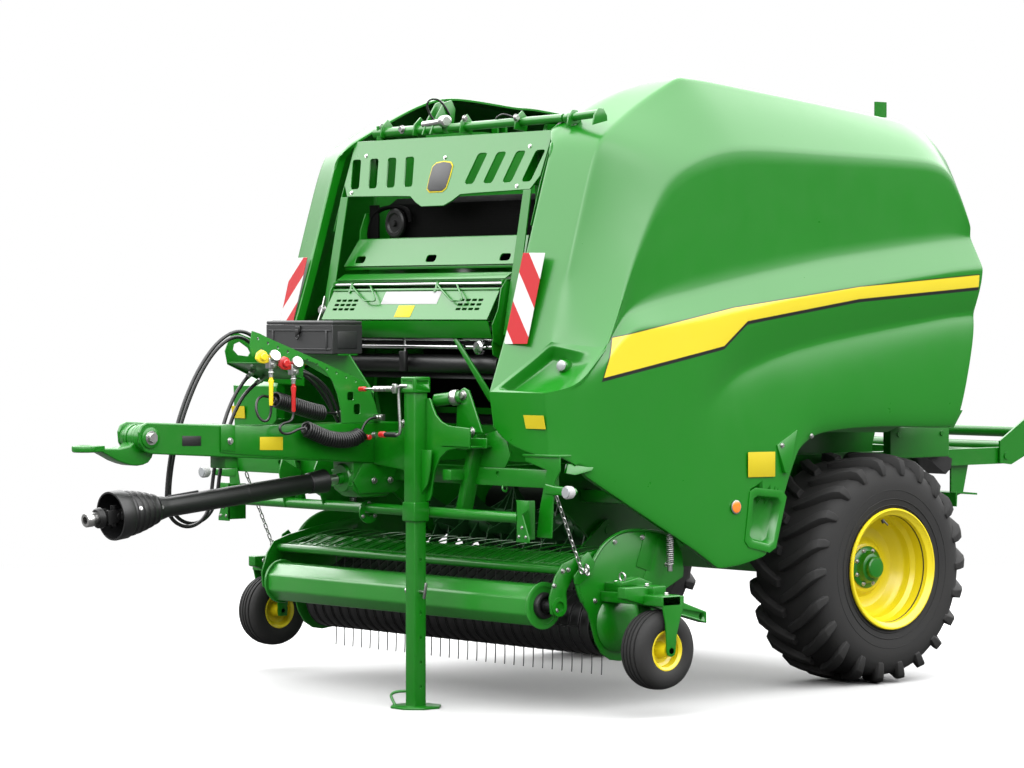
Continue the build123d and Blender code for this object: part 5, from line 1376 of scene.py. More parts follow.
class BALER_OT_front_panels(bpy.types.Operator):
    """The slotted top panel with its blank badge, the shelf and the net box with its vented cover"""
    bl_idname = "baler.front_panels"
    bl_label = "Front panels"

    def execute(self, context):
        self.grille()
        self.shelf()
        self.net_box()
        self.lid()
        self.labels()
        self.rods_and_rollers()
        return {"FINISHED"}

    def grille(self):
        half = 700
        outline = [(-half, -28), (-300, -36), (-190, -40), (-140, -72), (-85, -96), (85, -96), (140, -72), (190, -40),
                   (300, -36), (half, -28), (half + 48, 40), (half + 55, 272), (-half - 55, 272), (-half - 48, 40)]
        slots = []
        for side in SIDES.values():
            for x in (232, 372, 514, 655):
                shape = rounded(x - 34, 12, x + 34, 172, 16, lean=0.3)
                slots.append(tilted([(side * across, along) for across, along in shape], *GRILLE, -10, 30, 0))
        pieces = [pierced(tilted(outline, *GRILLE, 0, 8, 0), slots),
                  tilted(oblong(half + 50, 262, 270), *GRILLE, -40, 44)]
        for side in SIDES.values():
            pieces += [slab(((-1872, 2150), (-1962, 1897), (-1860, 1897), (-1860, 2150)), "x", side * 609, side * 16,
                            0.001),
                       slab(((-1850, 2176), (-1872, 2150), (-1962, 1897), (-2020, 1700), (-1990, 1690),
                             (-1930, 1880), (-1840, 2140)), "x", side * 752, side * 5, 0.001)]
        made("slotted_panel", pieces, "green", "chassis", "grille_panel")
        shield = [(-50, -26), (50, -26), (76, -8), (82, 56), (80, 114), (58, 134), (0, 141), (-58, 134), (-80, 114),
                  (-82, 56), (-76, -8)]
        smaller = [(across * 0.92, 54 + (along - 54) * 0.92) for across, along in shield]
        made("blank_badge", [tilted(smaller, *GRILLE, 8, 5, 0.002)], "dark box")
        made("badge_rim", [tilted(shield, *GRILLE, 8, 2.5, 0.001)], "yellow plate")
        lean, rise = 0.3352, 0.942
        made("panel_bolts", heads((0, -0.942, 0.335), 8, 5, *[
            Vector((x, -1960 + along * lean - 8 * rise, 1897 + along * rise + 8 * lean))
            for x, along in ((-633, 190), (0, 158), (617, 194), (-670, -8), (600, -10))]), "zinc")

    def shelf(self):
        top = tilted([(-690, 0), (690, 0), (650, 152), (-650, 152)], *SHELF, 0, 7, 0)
        holes = [tilted(rounded(x - 38, 18, x + 38, 56, 15), *SHELF, -12, 30, 0) for x in (-575, -20, 535)]
        made("shelf_top", [pierced(top, holes), tilted(oblong(690, 0, 14), (-1992, 1502), (-1992, 1520), 0, 6),
                           block((-600, -1932, 1652), (600, -1862, 1659), 0.001),
                           tilted(oblong(640, 0, 150), *SHELF_FRONT, 0, 6)], "green", "chassis", "shelf_plate")

    def net_box(self):
        """The box's roof, floor, ends and the fold in front of its roof."""
        box = [block((-650, -2080, 1437), (650, -1860, 1445), 0.001),
               block((-650, -2130, 1240), (650, -1860, 1250), 0.001),
               block((-650, -1868, 1250), (650, -1860, 1445), 0.001)]
        for side in SIDES.values():
            box += [slab(((-1862, 1242), (-2128, 1242), (-2080, 1410), (-2106, 1415), (-2106, 1443), (-1862, 1443)),
                         "x", side * 640, side * 10, 0.002),
                    slab(((-2100, 1120), (-2168, 1150), (-2176, 1230), (-2140, 1300), (-2120, 1400), (-2090, 1440),
                          (-2060, 1430), (-2070, 1300), (-2060, 1180)), "x", side * 652, side * 6, 0.002)]
        box.append(tilted(oblong(645, 0, 60), (-2084, 1445), (-1990, 1500), 0, 6))
        made("net_box_shell", box, "green", "chassis", "net_box")
        made("net_box_rod", [rod((-650, -2094, 1425), (650, -2094, 1425), 8)], "bright")

    def lid(self):
        """The vented cover with its folds and two wire handles."""
        vents = []
        for first in (-580, 374):
            for row in range(3):
                for column in range(4):
                    x, along = first + column * 46, 52 + row * 25
                    vents.append(tilted(rounded(x, along, x + 35, along + 12, 3, 2), *LID, -8, 20, 0))
        folds = [pierced(tilted(oblong(635, 0, 176), *LID, 0, 5, 0), vents, 0.001),
                 tilted(oblong(635, 0, 88), (-2154, 1166), (-2186, 1252), 0, 5),
                 tilted(oblong(635, 0, 10), (-2110, 1392), (-2104, 1402), 0, 9)]
        low, high = LID
        slope = Vector((0, low[0] - high[0], low[1] - high[1])).normalized()
        for first in (-500, 165):
            folds.append(slab(((-2112, 1402), (-2124, 1388), (-2100, 1390), (-2082, 1420), (-2086, 1436),
                               (-2104, 1436)), "x", first - 10, 16, 0.001))
            top = Vector((first, -2104, 1424))
            out = top + Vector((0, -12, 6))
            folds.append(wire([top, *[out + slope * along + Vector((x, 0, 0)) for along, x in (
                (30, 50), (96, 172), (100, 186), (100, 250), (94, 262), (30, 190))], top + Vector((145, 0, 0))],
                4.5, 3))
        made("net_cover_lid", folds, "green", "cover", "net_cover")

    def labels(self):
        """The bare plates on the lid and the shelf's front."""
        made("cover_label", [tilted(rounded(-215, 86, 215, 158, 3, 2), *LID, 5, 1.2, 0.0004)], "white plate", "cover")
        made("cover_tag", [tilted(rounded(-68, 12, 56, 78, 3, 2), *LID, 5, 1.2, 0.0004)], "yellow plate", "cover")
        made("shelf_label", [tilted(rounded(-20, 62, 400, 104, 4, 2), *SHELF_FRONT, 6, 1.2, 0.0004)], "white plate")

    def rods_and_rollers(self):
        rods = [rod((-620, -2120, z), (620, -2120, z), 11) for z in (1160, 1122)]
        rods += [turned(((0, 0), (0, 30), (8, 34), (26, 34), (34, 26), (36, 0)), (530, -2131, 1120), (0, -1, 0), 32),
                 rod((-60, -2120, 1090), (-60, -2120, 1200), 9, 16), block((-74, -2132, 1152), (-46, -2110, 1190))]
        made("net_guide_rods", rods, "bright", "chassis", "guide_rods")
        brackets = [slab(((-2142, 1085), (-2150, 1130), (-2142, 1186), (-2090, 1220), (-1860, 1200), (-1860, 1000),
                          (-2060, 1040)), "x", side * 620, side * 8, 0.002) for side in SIDES.values()]
        brackets += [tilted(oblong(610, 0, 60), (-2100, 1196), (-2130, 1240), 0, 6),
                     block((-605, -1975, 985), (605, -1955, 1075), 0.004),
                     slab(((330, 1165), (362, 1165), (640, 880), (605, 860)), "y", -2150, 10, 0.003)]
        made("rod_brackets", brackets, "green")
        made("net_rollers", [rod((-600, -2060, 1040), (600, -2060, 1040), 45, 28),
                             rod((-600, -1990, 1145), (600, -1990, 1145), 38, 28),
                             block((-85, -2142, 1000), (-35, -2120, 1100), 0.006),
                             tilted(oblong(600, 0, 120), (-2020, 965), (-1975, 1080), 0, 5)], "black roller")


class BALER_OT_top_gear(bpy.types.Operator):
    """The tube across the top with its lugs and valve, the tensioner disc and the dark belts behind the panel"""
    bl_idname = "baler.top_gear"
    bl_label = "Top gear"

    def execute(self, context):
        green = [rod((-60, -1835, 2200), (785, -1835, 2212), 21, 28),
                 rod((-640, -1835, 2194), (-90, -1835, 2198), 27, 28),
                 rod((-620, -1790, 2160), (-330, -1790, 2160), 30, 24)]
        for x in (-560, -300, 60, 470):
            green.append(slab(((-1880, 2170), (-1870, 2225), (-1830, 2262), (-1795, 2225), (-1800, 2160)), "x", x, 10,
                              0.002))
        for x in (-230, -170):
            green.append(slab(((-1880, 2170), (-1850, 2240), (-1790, 2330), (-1740, 2345), (-1715, 2300),
                               (-1730, 2180)), "x", x, 12, 0.003))
        green.append(rod((-600, -1835, 2150), (-600, -1835, 2230), 24))
        made("top_tube", green, "green")
        steel = [turned(((0, 0), (0, 26), (4, 30), (40, 30), (46, 22), (46, 0)), (-95, -1850, 2232), (1, -0.3, 0), 28),
                 rod((-250, -1846, 2222), (-95, -1850, 2232), 17), hexagon((-400, -1862, 2205), (0, -1, 0), 16, 12),
                 hexagon((480, -1872, 2225), (1, 0, 0), 14, 12), hexagon((70, -1850, 2240), (1, 0, 0), 12, 10),
                 hexagon((-560, -1860, 2225), (-1, 0, 0), 12, 10)]
        made("top_fittings", steel, "zinc")
        made("top_hose", [wire([(-200, -1800, 2220), (-200, -1850, 2270), (-190, -1880, 2325), (-170, -1860, 2350),
                                (-160, -1800, 2340), (-150, -1760, 2270)], 6, 5),
                          wire([(420, -1830, 2230), (380, -1850, 2250), (330, -1850, 2246), (280, -1830, 2230)], 4, 4)],
             "hose")
        stub = [rod((798, -1835, 2212), (1040, -1835, 2224), 20, 28)]
        stub += [slab(((-1880, 2168), (-1872, 2215), (-1845, 2248), (-1815, 2248), (-1792, 2215), (-1790, 2190)),
                      "x", x, 10, 0.002) for x in (850, 1032)]
        stub.append(rod((830, -1835, 2213), (850, -1835, 2214), 27, 24))
        made("tube_stub", stub, "hood frame", "hood_l")
        made("upper_belt", [
            slab(((-1846, 1650), (-1846, 1830), (-1800, 1862), (-1770, 1862), (-1770, 1650)), "x", -520, 1100, 0.004),
            wire([(-660, -1872, 1660), (-640, -1872, 1760), (-560, -1872, 1812), (-430, -1872, 1820),
                  (-330, -1872, 1800), (-320, -1872, 1740)], 12, 5),
            slab(((-1880, 1640), (-1880, 1830), (-1868, 1830), (-1868, 1640)), "x", -640, 70, 0.002)], "belt")
        # the disc is darkened with dark steel: painted shade in the gap between the shelf and the slotted panel
        made("tensioner_disc", [turned(((0, 0), (0, 66), (6, 74), (14, 76), (22, 74), (28, 66), (28, 52), (20, 44),
                                        (20, 18), (34, 14), (34, 0)), (-430, -1865, 1735), (0, -1, 0), 40)],
             "painted shade disc")
        arms = [slab(((-1900, 1500), (-1930, 1560), (-1925, 1700), (-1890, 1790), (-1862, 1790), (-1862, 1500)), "x",
                     side * 655, side * 10, 0.003) for side in SIDES.values()]
        arms += [leaf(side, ((745, -2122, 1180), (672, -2122, 1180), (672, -1995, 1870), (728, -1995, 1870)),
                      (0, 0.008, 0), 0.002, 2) for side in SIDES.values()]
        made("panel_arms", arms, "green")
        made("net_lever", [slab(((-2110, 1360), (-2126, 1372), (-2150, 1290), (-2200, 1180), (-2190, 1160),
                                 (-2176, 1166), (-2132, 1260)), "x", -700, 8, 0.003),
                           hexagon((-704, -2130, 1300), (0.2, -1, 0), 20, 14)], "zinc")
        return {"FINISHED"}


class BALER_OT_toolbox(bpy.types.Operator):
    """The ribbed dark toolbox with its latch and lid"""
    bl_idname = "baler.toolbox"
    bl_label = "Toolbox"

    def execute(self, context):
        low, high, wall = 1085, 1228, 6
        shell = cut(block((-750, -2450, low), (-215, -2265, high), 0),
                    block((-750 + wall, -2450 + wall, low + wall), (-215 - wall, -2265 - wall, high + 20), 0))
        walls = [smooth(bevel(shell, 0.004, 3, 40)), block((-218, -2420, 1110), (-211, -2300, 1195), 0.004),
                 block((-740, -2454, 1104), (-226, -2448, 1112)), block((-740, -2454, 1196), (-226, -2448, 1203))]
        walls += [block((x, -2455, 1100), (x + 14, -2448, 1200), 0.003) for x in (-700, -270)]
        made("toolbox_shell", walls, "dark box", "chassis", "toolbox")
        made("toolbox_lid_shell", [block((-750, -2450, 1228.5), (-215, -2265, 1246), 0.006, 3),
                                   block((-725, -2432, 1243), (-240, -2283, 1248.2), 0.004, 3)], "dark box", "lid",
             "toolbox_lid")
        made("toolbox_latch", [block((-500, -2462, 1190), (-464, -2449, 1222), 0.003),
                               block((-494, -2467, 1176), (-470, -2456, 1206), 0.003),
                               ring((-482, -2462, 1168), (0, 1, 0), 12, 3.5)], "black")
        return {"FINISHED"}


# ---------------------------------------------------------------- hose rack
def from_axle(point):
    """A place in metres, turned into millimetres from the axle."""
    return [(value - AXLE[i]) * 1000 for i, value in enumerate(point)]


class BALER_OT_hose_rack(bpy.types.Operator):
    """The perforated rack plates, the hose sockets, and the red and yellow air couplings"""
    bl_idname = "baler.hose_rack"
    bl_label = "Hose rack"

    def execute(self, context):
        self.plates()
        self.ferrules()
        self.couplings()
        self.couplers()
        return {"FINISHED"}

    def plates(self):
        outline = [(-2872, 1067), (-3165, 1082), (-3177, 1134), (-3164, 1200), (-3120, 1188), (-3070, 1167),
                   (-2800, 1070), (-2505, 960), (-2470, 925), (-2433, 860), (-2400, 760), (-2632, 760), (-2640, 830),
                   (-2660, 900), (-2692, 965), (-2740, 1015), (-2800, 1050)]
        holes = []
        for number in range(11):
            y = -3130 + number * 58
            z = 1178 - (number * 58) * 0.355
            holes.append(rod((70, y, z - 14), (100, y, z - 14), 7, 10, 0))
            if number < 7:
                holes.append(rod((70, y + 20, z - 66), (100, y + 20, z - 66), 7, 10, 0))
        holes += [slab(rounded(*corners, 8, 3), "x", 70, 30, 0)
                  for corners in ((-2600, 868, -2560, 908), (-2560, 800, -2520, 850))]
        # the rack plate's paler green is painted sheen
        made("rack_plate", [pierced(slab(outline, "x", 84, 6, 0), holes, 0.0008)], "painted sheen green", "chassis",
             "hose_rack")

        far = slab([(-3075, 1105), (-3050, 1165), (-3025, 1198), (-2910, 1160), (-2600, 1040), (-2600, 930),
                    (-2848, 956), (-2881, 966), (-3060, 1040)], "x", -250, 6, 0)
        openings = [slab([(-3028, 1110), (-3022, 1136), (-2990, 1148), (-2940, 1118), (-2926, 1096), (-2940, 1078),
                          (-3000, 1084)], "x", -260, 30, 0)]
        openings += [rod((-260, y, z), (-230, y, z), 8, 10, 0) for y, z in (
            (-2890, 1128), (-2820, 1100), (-2750, 1072), (-2680, 1044), (-2890, 1010), (-2780, 990))]
        post = slab(((-690, 1077), (-690, 1085), (-215, 1085), (-20, 900), (-20, 760), (-90, 760), (-110, 880)), "y",
                    -2345, -8, 0)
        made("rack_frame", [pierced(far, openings, 0.001), block((-250, -2866, 970), (84, -2860, 1084), 0.001),
                            slab(((-3060, 1052), (-2864, 978), (-2864, 972), (-3060, 1046)), "x", -250, 334, 0.001),
                            slab(((-2353, 760), (-2353, 900), (-2345, 900), (-2345, 760)), "x", -100, 80, 0.001),
                            block((-690, -2415, 1077), (-215, -2295, 1085), 0.001),
                            smooth(bevel(post, 0.001, 1))], "green")

    def ferrules(self):
        """A socket on each end of the two pressure hoses."""
        fittings = []
        for route in HYDRAULIC_ROUTES.values():
            for end, beside in ((route[0], route[1]), (route[-1], route[-2])):
                way = (Vector(end) - Vector(beside)).normalized()
                fittings.append(turned(((-18, 9.2), (-18, 11.5), (2, 12), (6, 15), (18, 15), (22, 12), (45, 12),
                                        (45, 0), (2, 0), (2, 9.2)), from_axle(Vector(end)), way, 20, 30))
        made("hose_ferrules", fittings, "zinc")

    def couplings(self):
        """The sleeve, handle and head at each air hose's upper end, and the fitting at its other end."""
        metal = []
        for name, (route, *_) in AIR_ROUTES.items():
            colour = name.split("_")[-1]
            x, y, z = from_axle(route[0])
            sleeve = turned(((0, 0), (0, 8), (6, 10), (90, 10.5), (112, 13), (118, 13), (122, 9), (134, 9), (134, 0)),
                            (x, y, z), (0, 0, 1), 24)
            handle = slab(((y - 92, z + 218), (y - 84, z + 246), (y - 60, z + 262), (y - 34, z + 254),
                           (y - 12, z + 226), (y - 14, z + 200), (y - 42, z + 196), (y - 70, z + 200)), "x", x - 8, 16,
                          0.006, 3)
            knob = turned(((0, 0), (0, 16), (10, 18), (14, 14), (14, 0)), (x + 6, y - 52, z + 228), (1, 0, 0), 24)
            made(f"coupling_{colour}", [sleeve, handle, knob], f"{colour} handle", "chassis",
                 *(("hose_couplings",) if colour == "yellow" else ()))
            end_x, end_y, end_z = from_axle(route[-1])
            inner, outer = (end_x - 15, 84) if end_x < 84 else (90, end_x + 15)
            metal += [rod((x, y, z + 132), (x, y, z + 176), 11), rod((x, y, z + 150), (x, y, z + 158), 15, 6),
                      block((x - 18, y - 22, z + 172), (x + 16, y + 22, z + 224), 0.005, 3),
                      turned(((0, 0), (0, 27), (5, 30), (18, 30), (24, 26), (26, 12), (26, 0)),
                             (x + 4, y + 12, z + 226), (0.75, -0.1, 0.35), 32),
                      rod((x - 34, y, z + 200), (x - 14, y, z + 200), 13, 16),
                      hexagon((x + 17, y, z + 190), (1, 0, 0), 9, 7),
                      rod((end_x, end_y - 12, end_z), (end_x, end_y + 12, end_z), 11, 6),
                      rod((end_x, end_y + 4, end_z), (end_x, end_y + 36, end_z), 13, 18),
                      block((inner, end_y + 8, end_z - 15), (outer, end_y + 35, end_z + 15))]
        made("coupling_heads", metal, "zinc")

    def couplers(self):
        """The ribbed couplers behind the rack and the thick hoses that leave them."""
        black = [turned(((0, 0), (0, 24), (14, 28), (52, 28), (60, 20), (90, 18), (90, 0)), middle, (0.1, -0.7, 0.45),
                        24) for middle in ((20, -3040, 1080), (-20, -3000, 1066), (-60, -2960, 1052))]
        black += [wire(points, 8, 5, 12) for points in (
            ((-20, -2860, 1030), (-20, -2800, 1020), (-10, -2720, 980), (10, -2660, 900), (20, -2620, 790),
             (20, -2600, 760)),
            ((20, -2860, 1010), (24, -2790, 1000), (34, -2700, 950), (44, -2640, 870), (48, -2600, 765)),
            ((-60, -2860, 1020), (-60, -2790, 1010), (-50, -2700, 960), (-40, -2620, 860), (-36, -2560, 765)))]
        made("rack_couplers", black, "black")


# ---------------------------------------------------------------- drawbar
HITCH_PIN = (-3745, 714)  # to the rear, up
HITCH_EYE = (0, -4040, 669)
SHAFT_FRONT, SHAFT_REAR = Vector((0, -4040, 345)), Vector((0, -2600, 489))


class BALER_OT_drawbar(bpy.types.Operator):
    """The drawbar box with its overlays and blank plates, and the hitch drum and eye"""
    bl_idname = "baler.drawbar"
    bl_label = "Drawbar"

    def execute(self, context):
        outline = ((-3735, 640), (-3770, 650), (-3800, 690), (-3805, 740), (-3790, 772), (-3760, 785), (-3016, 749),
                   (-2600, 760), (-2300, 760), (-1790, 735), (-1790, 562), (-2412, 562))
        beam = cut(slab(outline, "x", -90, 180, 0), block((-72, -3900, 500), (72, -3675, 900), 0),
                   block((-76, -2560, 400), (76, -2320, 900), 0))
        pieces = [smooth(bevel(beam, 0.006, 3))]
        steel = []
        for side in SIDES.values():
            out = (side, 0, 0)
            pieces += [
                slab(((-3351, 640), (-3351, 758), (-3270, 756), (-2412, 756), (-2300, 752), (-2300, 566),
                      (-2412, 566), (-3262, 628)), "x", side * 90, side * 5, 0.001),
                slab(((-3351, 649), (-3351, 764), (-3270, 762), (-3270, 642)), "x", side * 94, side * 5, 0.001),
                turned(((0, 18), (0, 48), (8, 48), (12, 42), (12, 18)), (side * 90, *HITCH_PIN), out, 40),
                slab(((-2560, 480), (-2520, 420), (-2300, 420), (-2230, 470), (-2230, 562), (-2412, 562),
                      (-2500, 566)), "x", side * 77, side * 10, 0.003)]
            steel.append(hexagon((side * 102, *HITCH_PIN), out, 24, 18))
            steel += heads(out, 12, 10, (side * 99, -3299, 690), *[(side * 95, y, z) for y, z in (
                (-2440, 480), (-2340, 480), (-2260, 520), (-2440, 700), (-2260, 640))])
        pieces += [block((-80, -3352, 757), (80, -3270, 766)), block((-60, -3300, 560), (60, -3225, 650), 0.006)]
        made("drawbar_beam", pieces, "green", "chassis", "drawbar")
        steel.append(rod((-100, *HITCH_PIN), (100, *HITCH_PIN), 20, 24))
        made("drawbar_bolts", steel, "zinc")
        made("drawbar_plate", [slab(((-3566, 673), (-3566, 719), (-3459, 717), (-3459, 671)), "x", 90, 1.4, 0.0004)],
             "black")
        made("drawbar_tag", [slab(((-3125, 644), (-3125, 705), (-2991, 702), (-2991, 640)), "x", 95, 1.4, 0.0004)],
             "yellow plate")

        drum = turned(((0, 0), (0, 56), (6, 60), (50, 60), (54, 57), (90, 57), (94, 60), (138, 60), (144, 56),
                       (144, 0)), (-72, *HITCH_PIN), (1, 0, 0), 48)
        rings = [ring((x, *HITCH_PIN), (1, 0, 0), 59, 3, 40) for x in (-40, -20, 20, 40)]
        forging = slab([(-3985, 672), (-3985, 658), (-3940, 637), (-3890, 612), (-3850, 598), (-3812, 589),
                        (-3780, 586), (-3748, 590), (-3720, 600), (-3700, 622), (-3690, 650), (-3696, 700),
                        (-3720, 726), (-3760, 722), (-3790, 700), (-3822, 678), (-3880, 668)], "x", -44, 88, 0.012, 4)
        eye = turned(((-16, 25), (-16, 52), (-12, 58), (-5, 60), (5, 60), (12, 58), (16, 52), (16, 25), (12, 24),
                      (-12, 24)), HITCH_EYE, (0, 0, 1), 48)
        neck = slab(((-52, -4000), (-60, -4050), (60, -4050), (52, -4000), (44, -3960), (-44, -3960)), "z", 655, 28, 0)
        neck = cut(neck, rod((*HITCH_EYE[:2], 600), (*HITCH_EYE[:2], 760), 27, 32, 0))
        made("hitch_forging", [drum, forging, eye, smooth(bevel(neck, 0.008, 3, 40)), *rings], "green", "chassis",
             "hitch_eye")
        return {"FINISHED"}


class BALER_OT_drive_shaft(bpy.types.Operator):
    """The drive shaft's ribbed bell, tube guard, yoke and collar, and the gearbox it enters"""
    bl_idname = "baler.drive_shaft"
    bl_label = "Drive shaft"

    def execute(self, context):
        front, rear = SHAFT_FRONT, SHAFT_REAR
        way = (rear - front).normalized()
        up = way.cross(Vector((1, 0, 0)))
        total = (rear - front).length
        bell = turned(((140, 104), (140, 112), (150, 114), (205, 112), (212, 108), (216, 100), (228, 100), (232, 105),
                       (246, 104), (250, 97), (262, 95), (266, 100), (280, 98), (284, 91), (296, 88), (300, 93),
                       (314, 90), (318, 82), (330, 79), (334, 84), (348, 80), (352, 72), (366, 69), (370, 73),
                       (382, 69), (388, 60), (430, 52), (445, 48), (total - 95, 46), (total - 92, 44),
                       (total - 92, 38), (440, 38), (380, 52), (220, 90), (160, 104)), front, way, 56, 40)
        boot = turned(((total - 170, 44), (total - 165, 50), (total - 130, 52), (total - 100, 55), (total - 70, 57),
                       (total - 66, 52), (total - 100, 48), (total - 160, 42)), front, way, 48, 40)
        latch = rod(front + way * 470 + Vector((0, -8, 47)), front + way * 640 + Vector((0, -8, 49)), 5, 10)
        ribs = [ring(front + way * along, way, 46, 1.6, 40) for along in (470, 900, 1320)]
        made("bell_and_tube", [bell, latch, boot, *ribs], "black", "chassis", "pto_guard")
        buttons = []
        for turn in (30, 150, 270):
            side = way.orthogonal().normalized()
            side.rotate(Matrix.Rotation(radians(turn), 3, way))
            buttons.append(hexagon(front + way * 240 + side * 104, side, 7, 4))
        buttons.append(hexagon(front + way * 385 + Vector((60, 0, 10)), (1, 0, 0), 7, 4))
        made("bell_buttons", buttons, "zinc")

        collar = turned(((0, 17.5), (0, 30), (4, 33), (34, 34), (40, 30), (70, 30), (70, 17.5)), front, way, 32, 40)
        made("shaft_collar", [collar, rod(front + way * 150, rear, 25, 28)], "zinc", "drive_shaft", "pto_shaft")
        yoke = [turned(((60, 18), (60, 40), (66, 46), (84, 48), (90, 42), (108, 40), (108, 18)), front, way, 32, 40)]
        forks = ((110, 30, 14, ((-12, -34), (40, -30), (66, -16), (72, 0), (66, 16), (40, 30), (-12, 34))),
                 (230, 46, 10, ((-66, -16), (-40, -30), (10, -34), (10, 34), (-40, 30), (-66, 16))))
        for side in SIDES.values():
            for along, out, thick, outline in forks:
                root = front + way * along
                yoke.append(slab([tuple((root + way * a + up * b)[1:]) for a, b in outline], "x", side * out,
                                 side * thick, 0.004, 3))
        cross = front + way * 160
        yoke += [rod(cross - half, cross + half, 15) for half in (Vector((50, 0, 0)), up * 48)]
        made("shaft_yoke", yoke, "dark yoke", "drive_shaft")

        box = [slab(((-2560, 440), (-2560, 690), (-2540, 700), (-2340, 700), (-2320, 690), (-2320, 420), (-2345, 400),
                     (-2500, 400)), "x", -76, 152, 0.012, 4),
               turned(((3, 0), (3, 28), (80, 28), (80, 0)), rear, way, 32),
               turned(((30, 0), (30, 64), (40, 70), (60, 70), (60, 0)), rear, way, 36)]
        box += [block((-80, -2566, z), (80, -2556, z + 12), 0.003) for z in (450, 520, 590, 660)]
        made("gearbox_housing", box, "green", "chassis", "gearbox")
        return {"FINISHED"}


JACK = (445, -2470)  # the jack's middle: left, to the rear


class BALER_OT_jack(bpy.types.Operator):
    """The jack: its sleeve with cap and collar, gusset, crank and levers, and the drilled leg with its foot"""
    bl_idname = "baler.jack"
    bl_label = "Jack"

    def execute(self, context):
        self.sleeve()
        self.fittings()
        self.leg()
        return {"FINISHED"}

    def tube(self, half, low, high, width=0.0, segments=2):
        """A square bar round the jack's middle: half its width, its lower and its upper end."""
        x, y = JACK
        return block((x - half, y - half, low), (x + half, y + half, high), width, segments)

    def sleeve(self):
        x, y = JACK
        slots = [block((x - 36, y - 60, 948), (x + 36, y - 46, 966), 0),
                 block((x + 46, y - 34, 948), (x + 60, y + 34, 966), 0),
                 block((x - 45, y - 44, 900), (x + 45, y + 44, 962), 0)]
        gusset = ((484, 866), (492, 880), (505, 884), (518, 872), (530, 845), (555, 806), (595, 775), (650, 756),
                  (800, 748), (800, 652), (700, 652), (640, 640), (585, 603), (548, 545), (530, 480), (522, 430),
                  (506, 400), (484, 392))
        pieces = [cut(self.tube(40, 300, 975, 0.005, 3), self.tube(35, 290, 960)),
                  cut(block((x - 52, y - 50, 908), (x + 52, y + 50, 983), 0.006, 3), *slots),
                  cut(self.tube(46, 302, 392, 0.005, 3), self.tube(36, 290, 400)),
                  slab(gusset, "y", -2440, 12, 0.003, 3),
                  slab(((484, 640), (560, 640), (548, 545), (530, 480), (484, 430)), "y", -2470, 10, 0.003),
                  slab(((405, 860), (396, 850), (380, 800), (340, 752), (280, 722), (90, 712), (90, 560), (300, 540),
                        (405, 520)), "y", -2440, 12, 0.003, 3),
                  block((600, -2440, 655), (800, -2300, 663)), block((595, -2430, 500), (655, -2300, 550), 0.003),
                  rod((500, -2390, 872), (640, -2350, 890), 30, 28),
                  slab(((600, 720), (606, 880), (622, 918), (655, 934), (690, 920), (712, 880), (790, 724)), "y",
                       -2352, 12, 0.004, 3),
                  slab(((520, 752), (600, 700), (820, 700), (820, 652), (620, 640), (520, 660)), "y", -2352, 12,
                       0.004, 3)]
        made("jack_sleeve_shell", pieces, "green", "chassis", "jack_sleeve")

    def fittings(self):
        """The bolts, the crank with its grip, the spring latch and the levers with red tips."""
        steel = [turned(((0, 0), (0, 34), (6, 38), (30, 38), (36, 34), (36, 0)), (592, -2368, 884), (1, 0.25, 0.12),
                        32)]
        steel += heads((0, -1, 0), 17, 14, (655, -2352, 898), (555, -2352, 732), (715, -2352, 727))
        steel += [wire([(440, -2516, 940), (405, -2528, 944), (390, -2530, 930), (394, -2530, 860),
                        (402, -2530, 770), (404, -2530, 722), (390, -2530, 708), (360, -2530, 708)], 8, 5, 12),
                  rod((160, -2548, 922), (392, -2548, 926), 6, 14),
                  coil((230, -2548, 924), (330, -2548, 925), 11, 3, 12),
                  rod((330, -2548, 925), (372, -2548, 926), 14, 18),
                  block((372, -2556, 905), (398, -2540, 950), 0.003),
                  turned(((0, 0), (0, 13), (4, 18), (12, 18), (18, 10), (18, 0)), (396, -2470, -30), (-1, 0, 0), 24),
                  rod((380, -2470, -30), (512, -2470, -30), 8, 16),
                  slab(((500, -60), (512, -64), (530, 10), (520, 16)), "y", -2478, 14, 0.003),
                  hexagon((330, -2452, 760), (0, -1, 0), 14, 12)]
        made("jack_fittings", steel, "zinc")
        made("crank_grip", [rod((290, -2530, 708), (372, -2530, 708), 12)], "black")
        made("red_tips", [rod((252, -2530, 708), (292, -2530, 708), 15, 20, 0.003),
                          rod((118, -2548, 921), (165, -2548, 922), 12, 20, 0.003),
                          rod((100, -2500, 690), (140, -2500, 690), 13, 20, 0.003)], "red handle")

    def leg(self):
        x, y = JACK
        holes = [self.tube(28.7, -560, 500)]
        holes += [rod((x, y, z), (x + 60, y, z), 9, 16, 0) for z in (-132, -250, -365, -480, 120)]
        leg = smooth(cut(self.tube(34.7, -572, 480, 0.004, 3), *holes))
        foot = slab([on_circle(JACK, 125, turn + 22.5) for turn in range(0, 360, 45)], "z", -580, 10, 0.002)
        handle = wire([(x - 34, y - 10, -505), (x - 80, y - 40, -505), (x - 112, y - 62, -520),
                       (x - 104, y - 64, -540), (x - 80, y - 60, -572)], 7, 5, 12)
        made("jack_leg_tube", [leg, foot, handle], "green", "jack", "jack_leg")


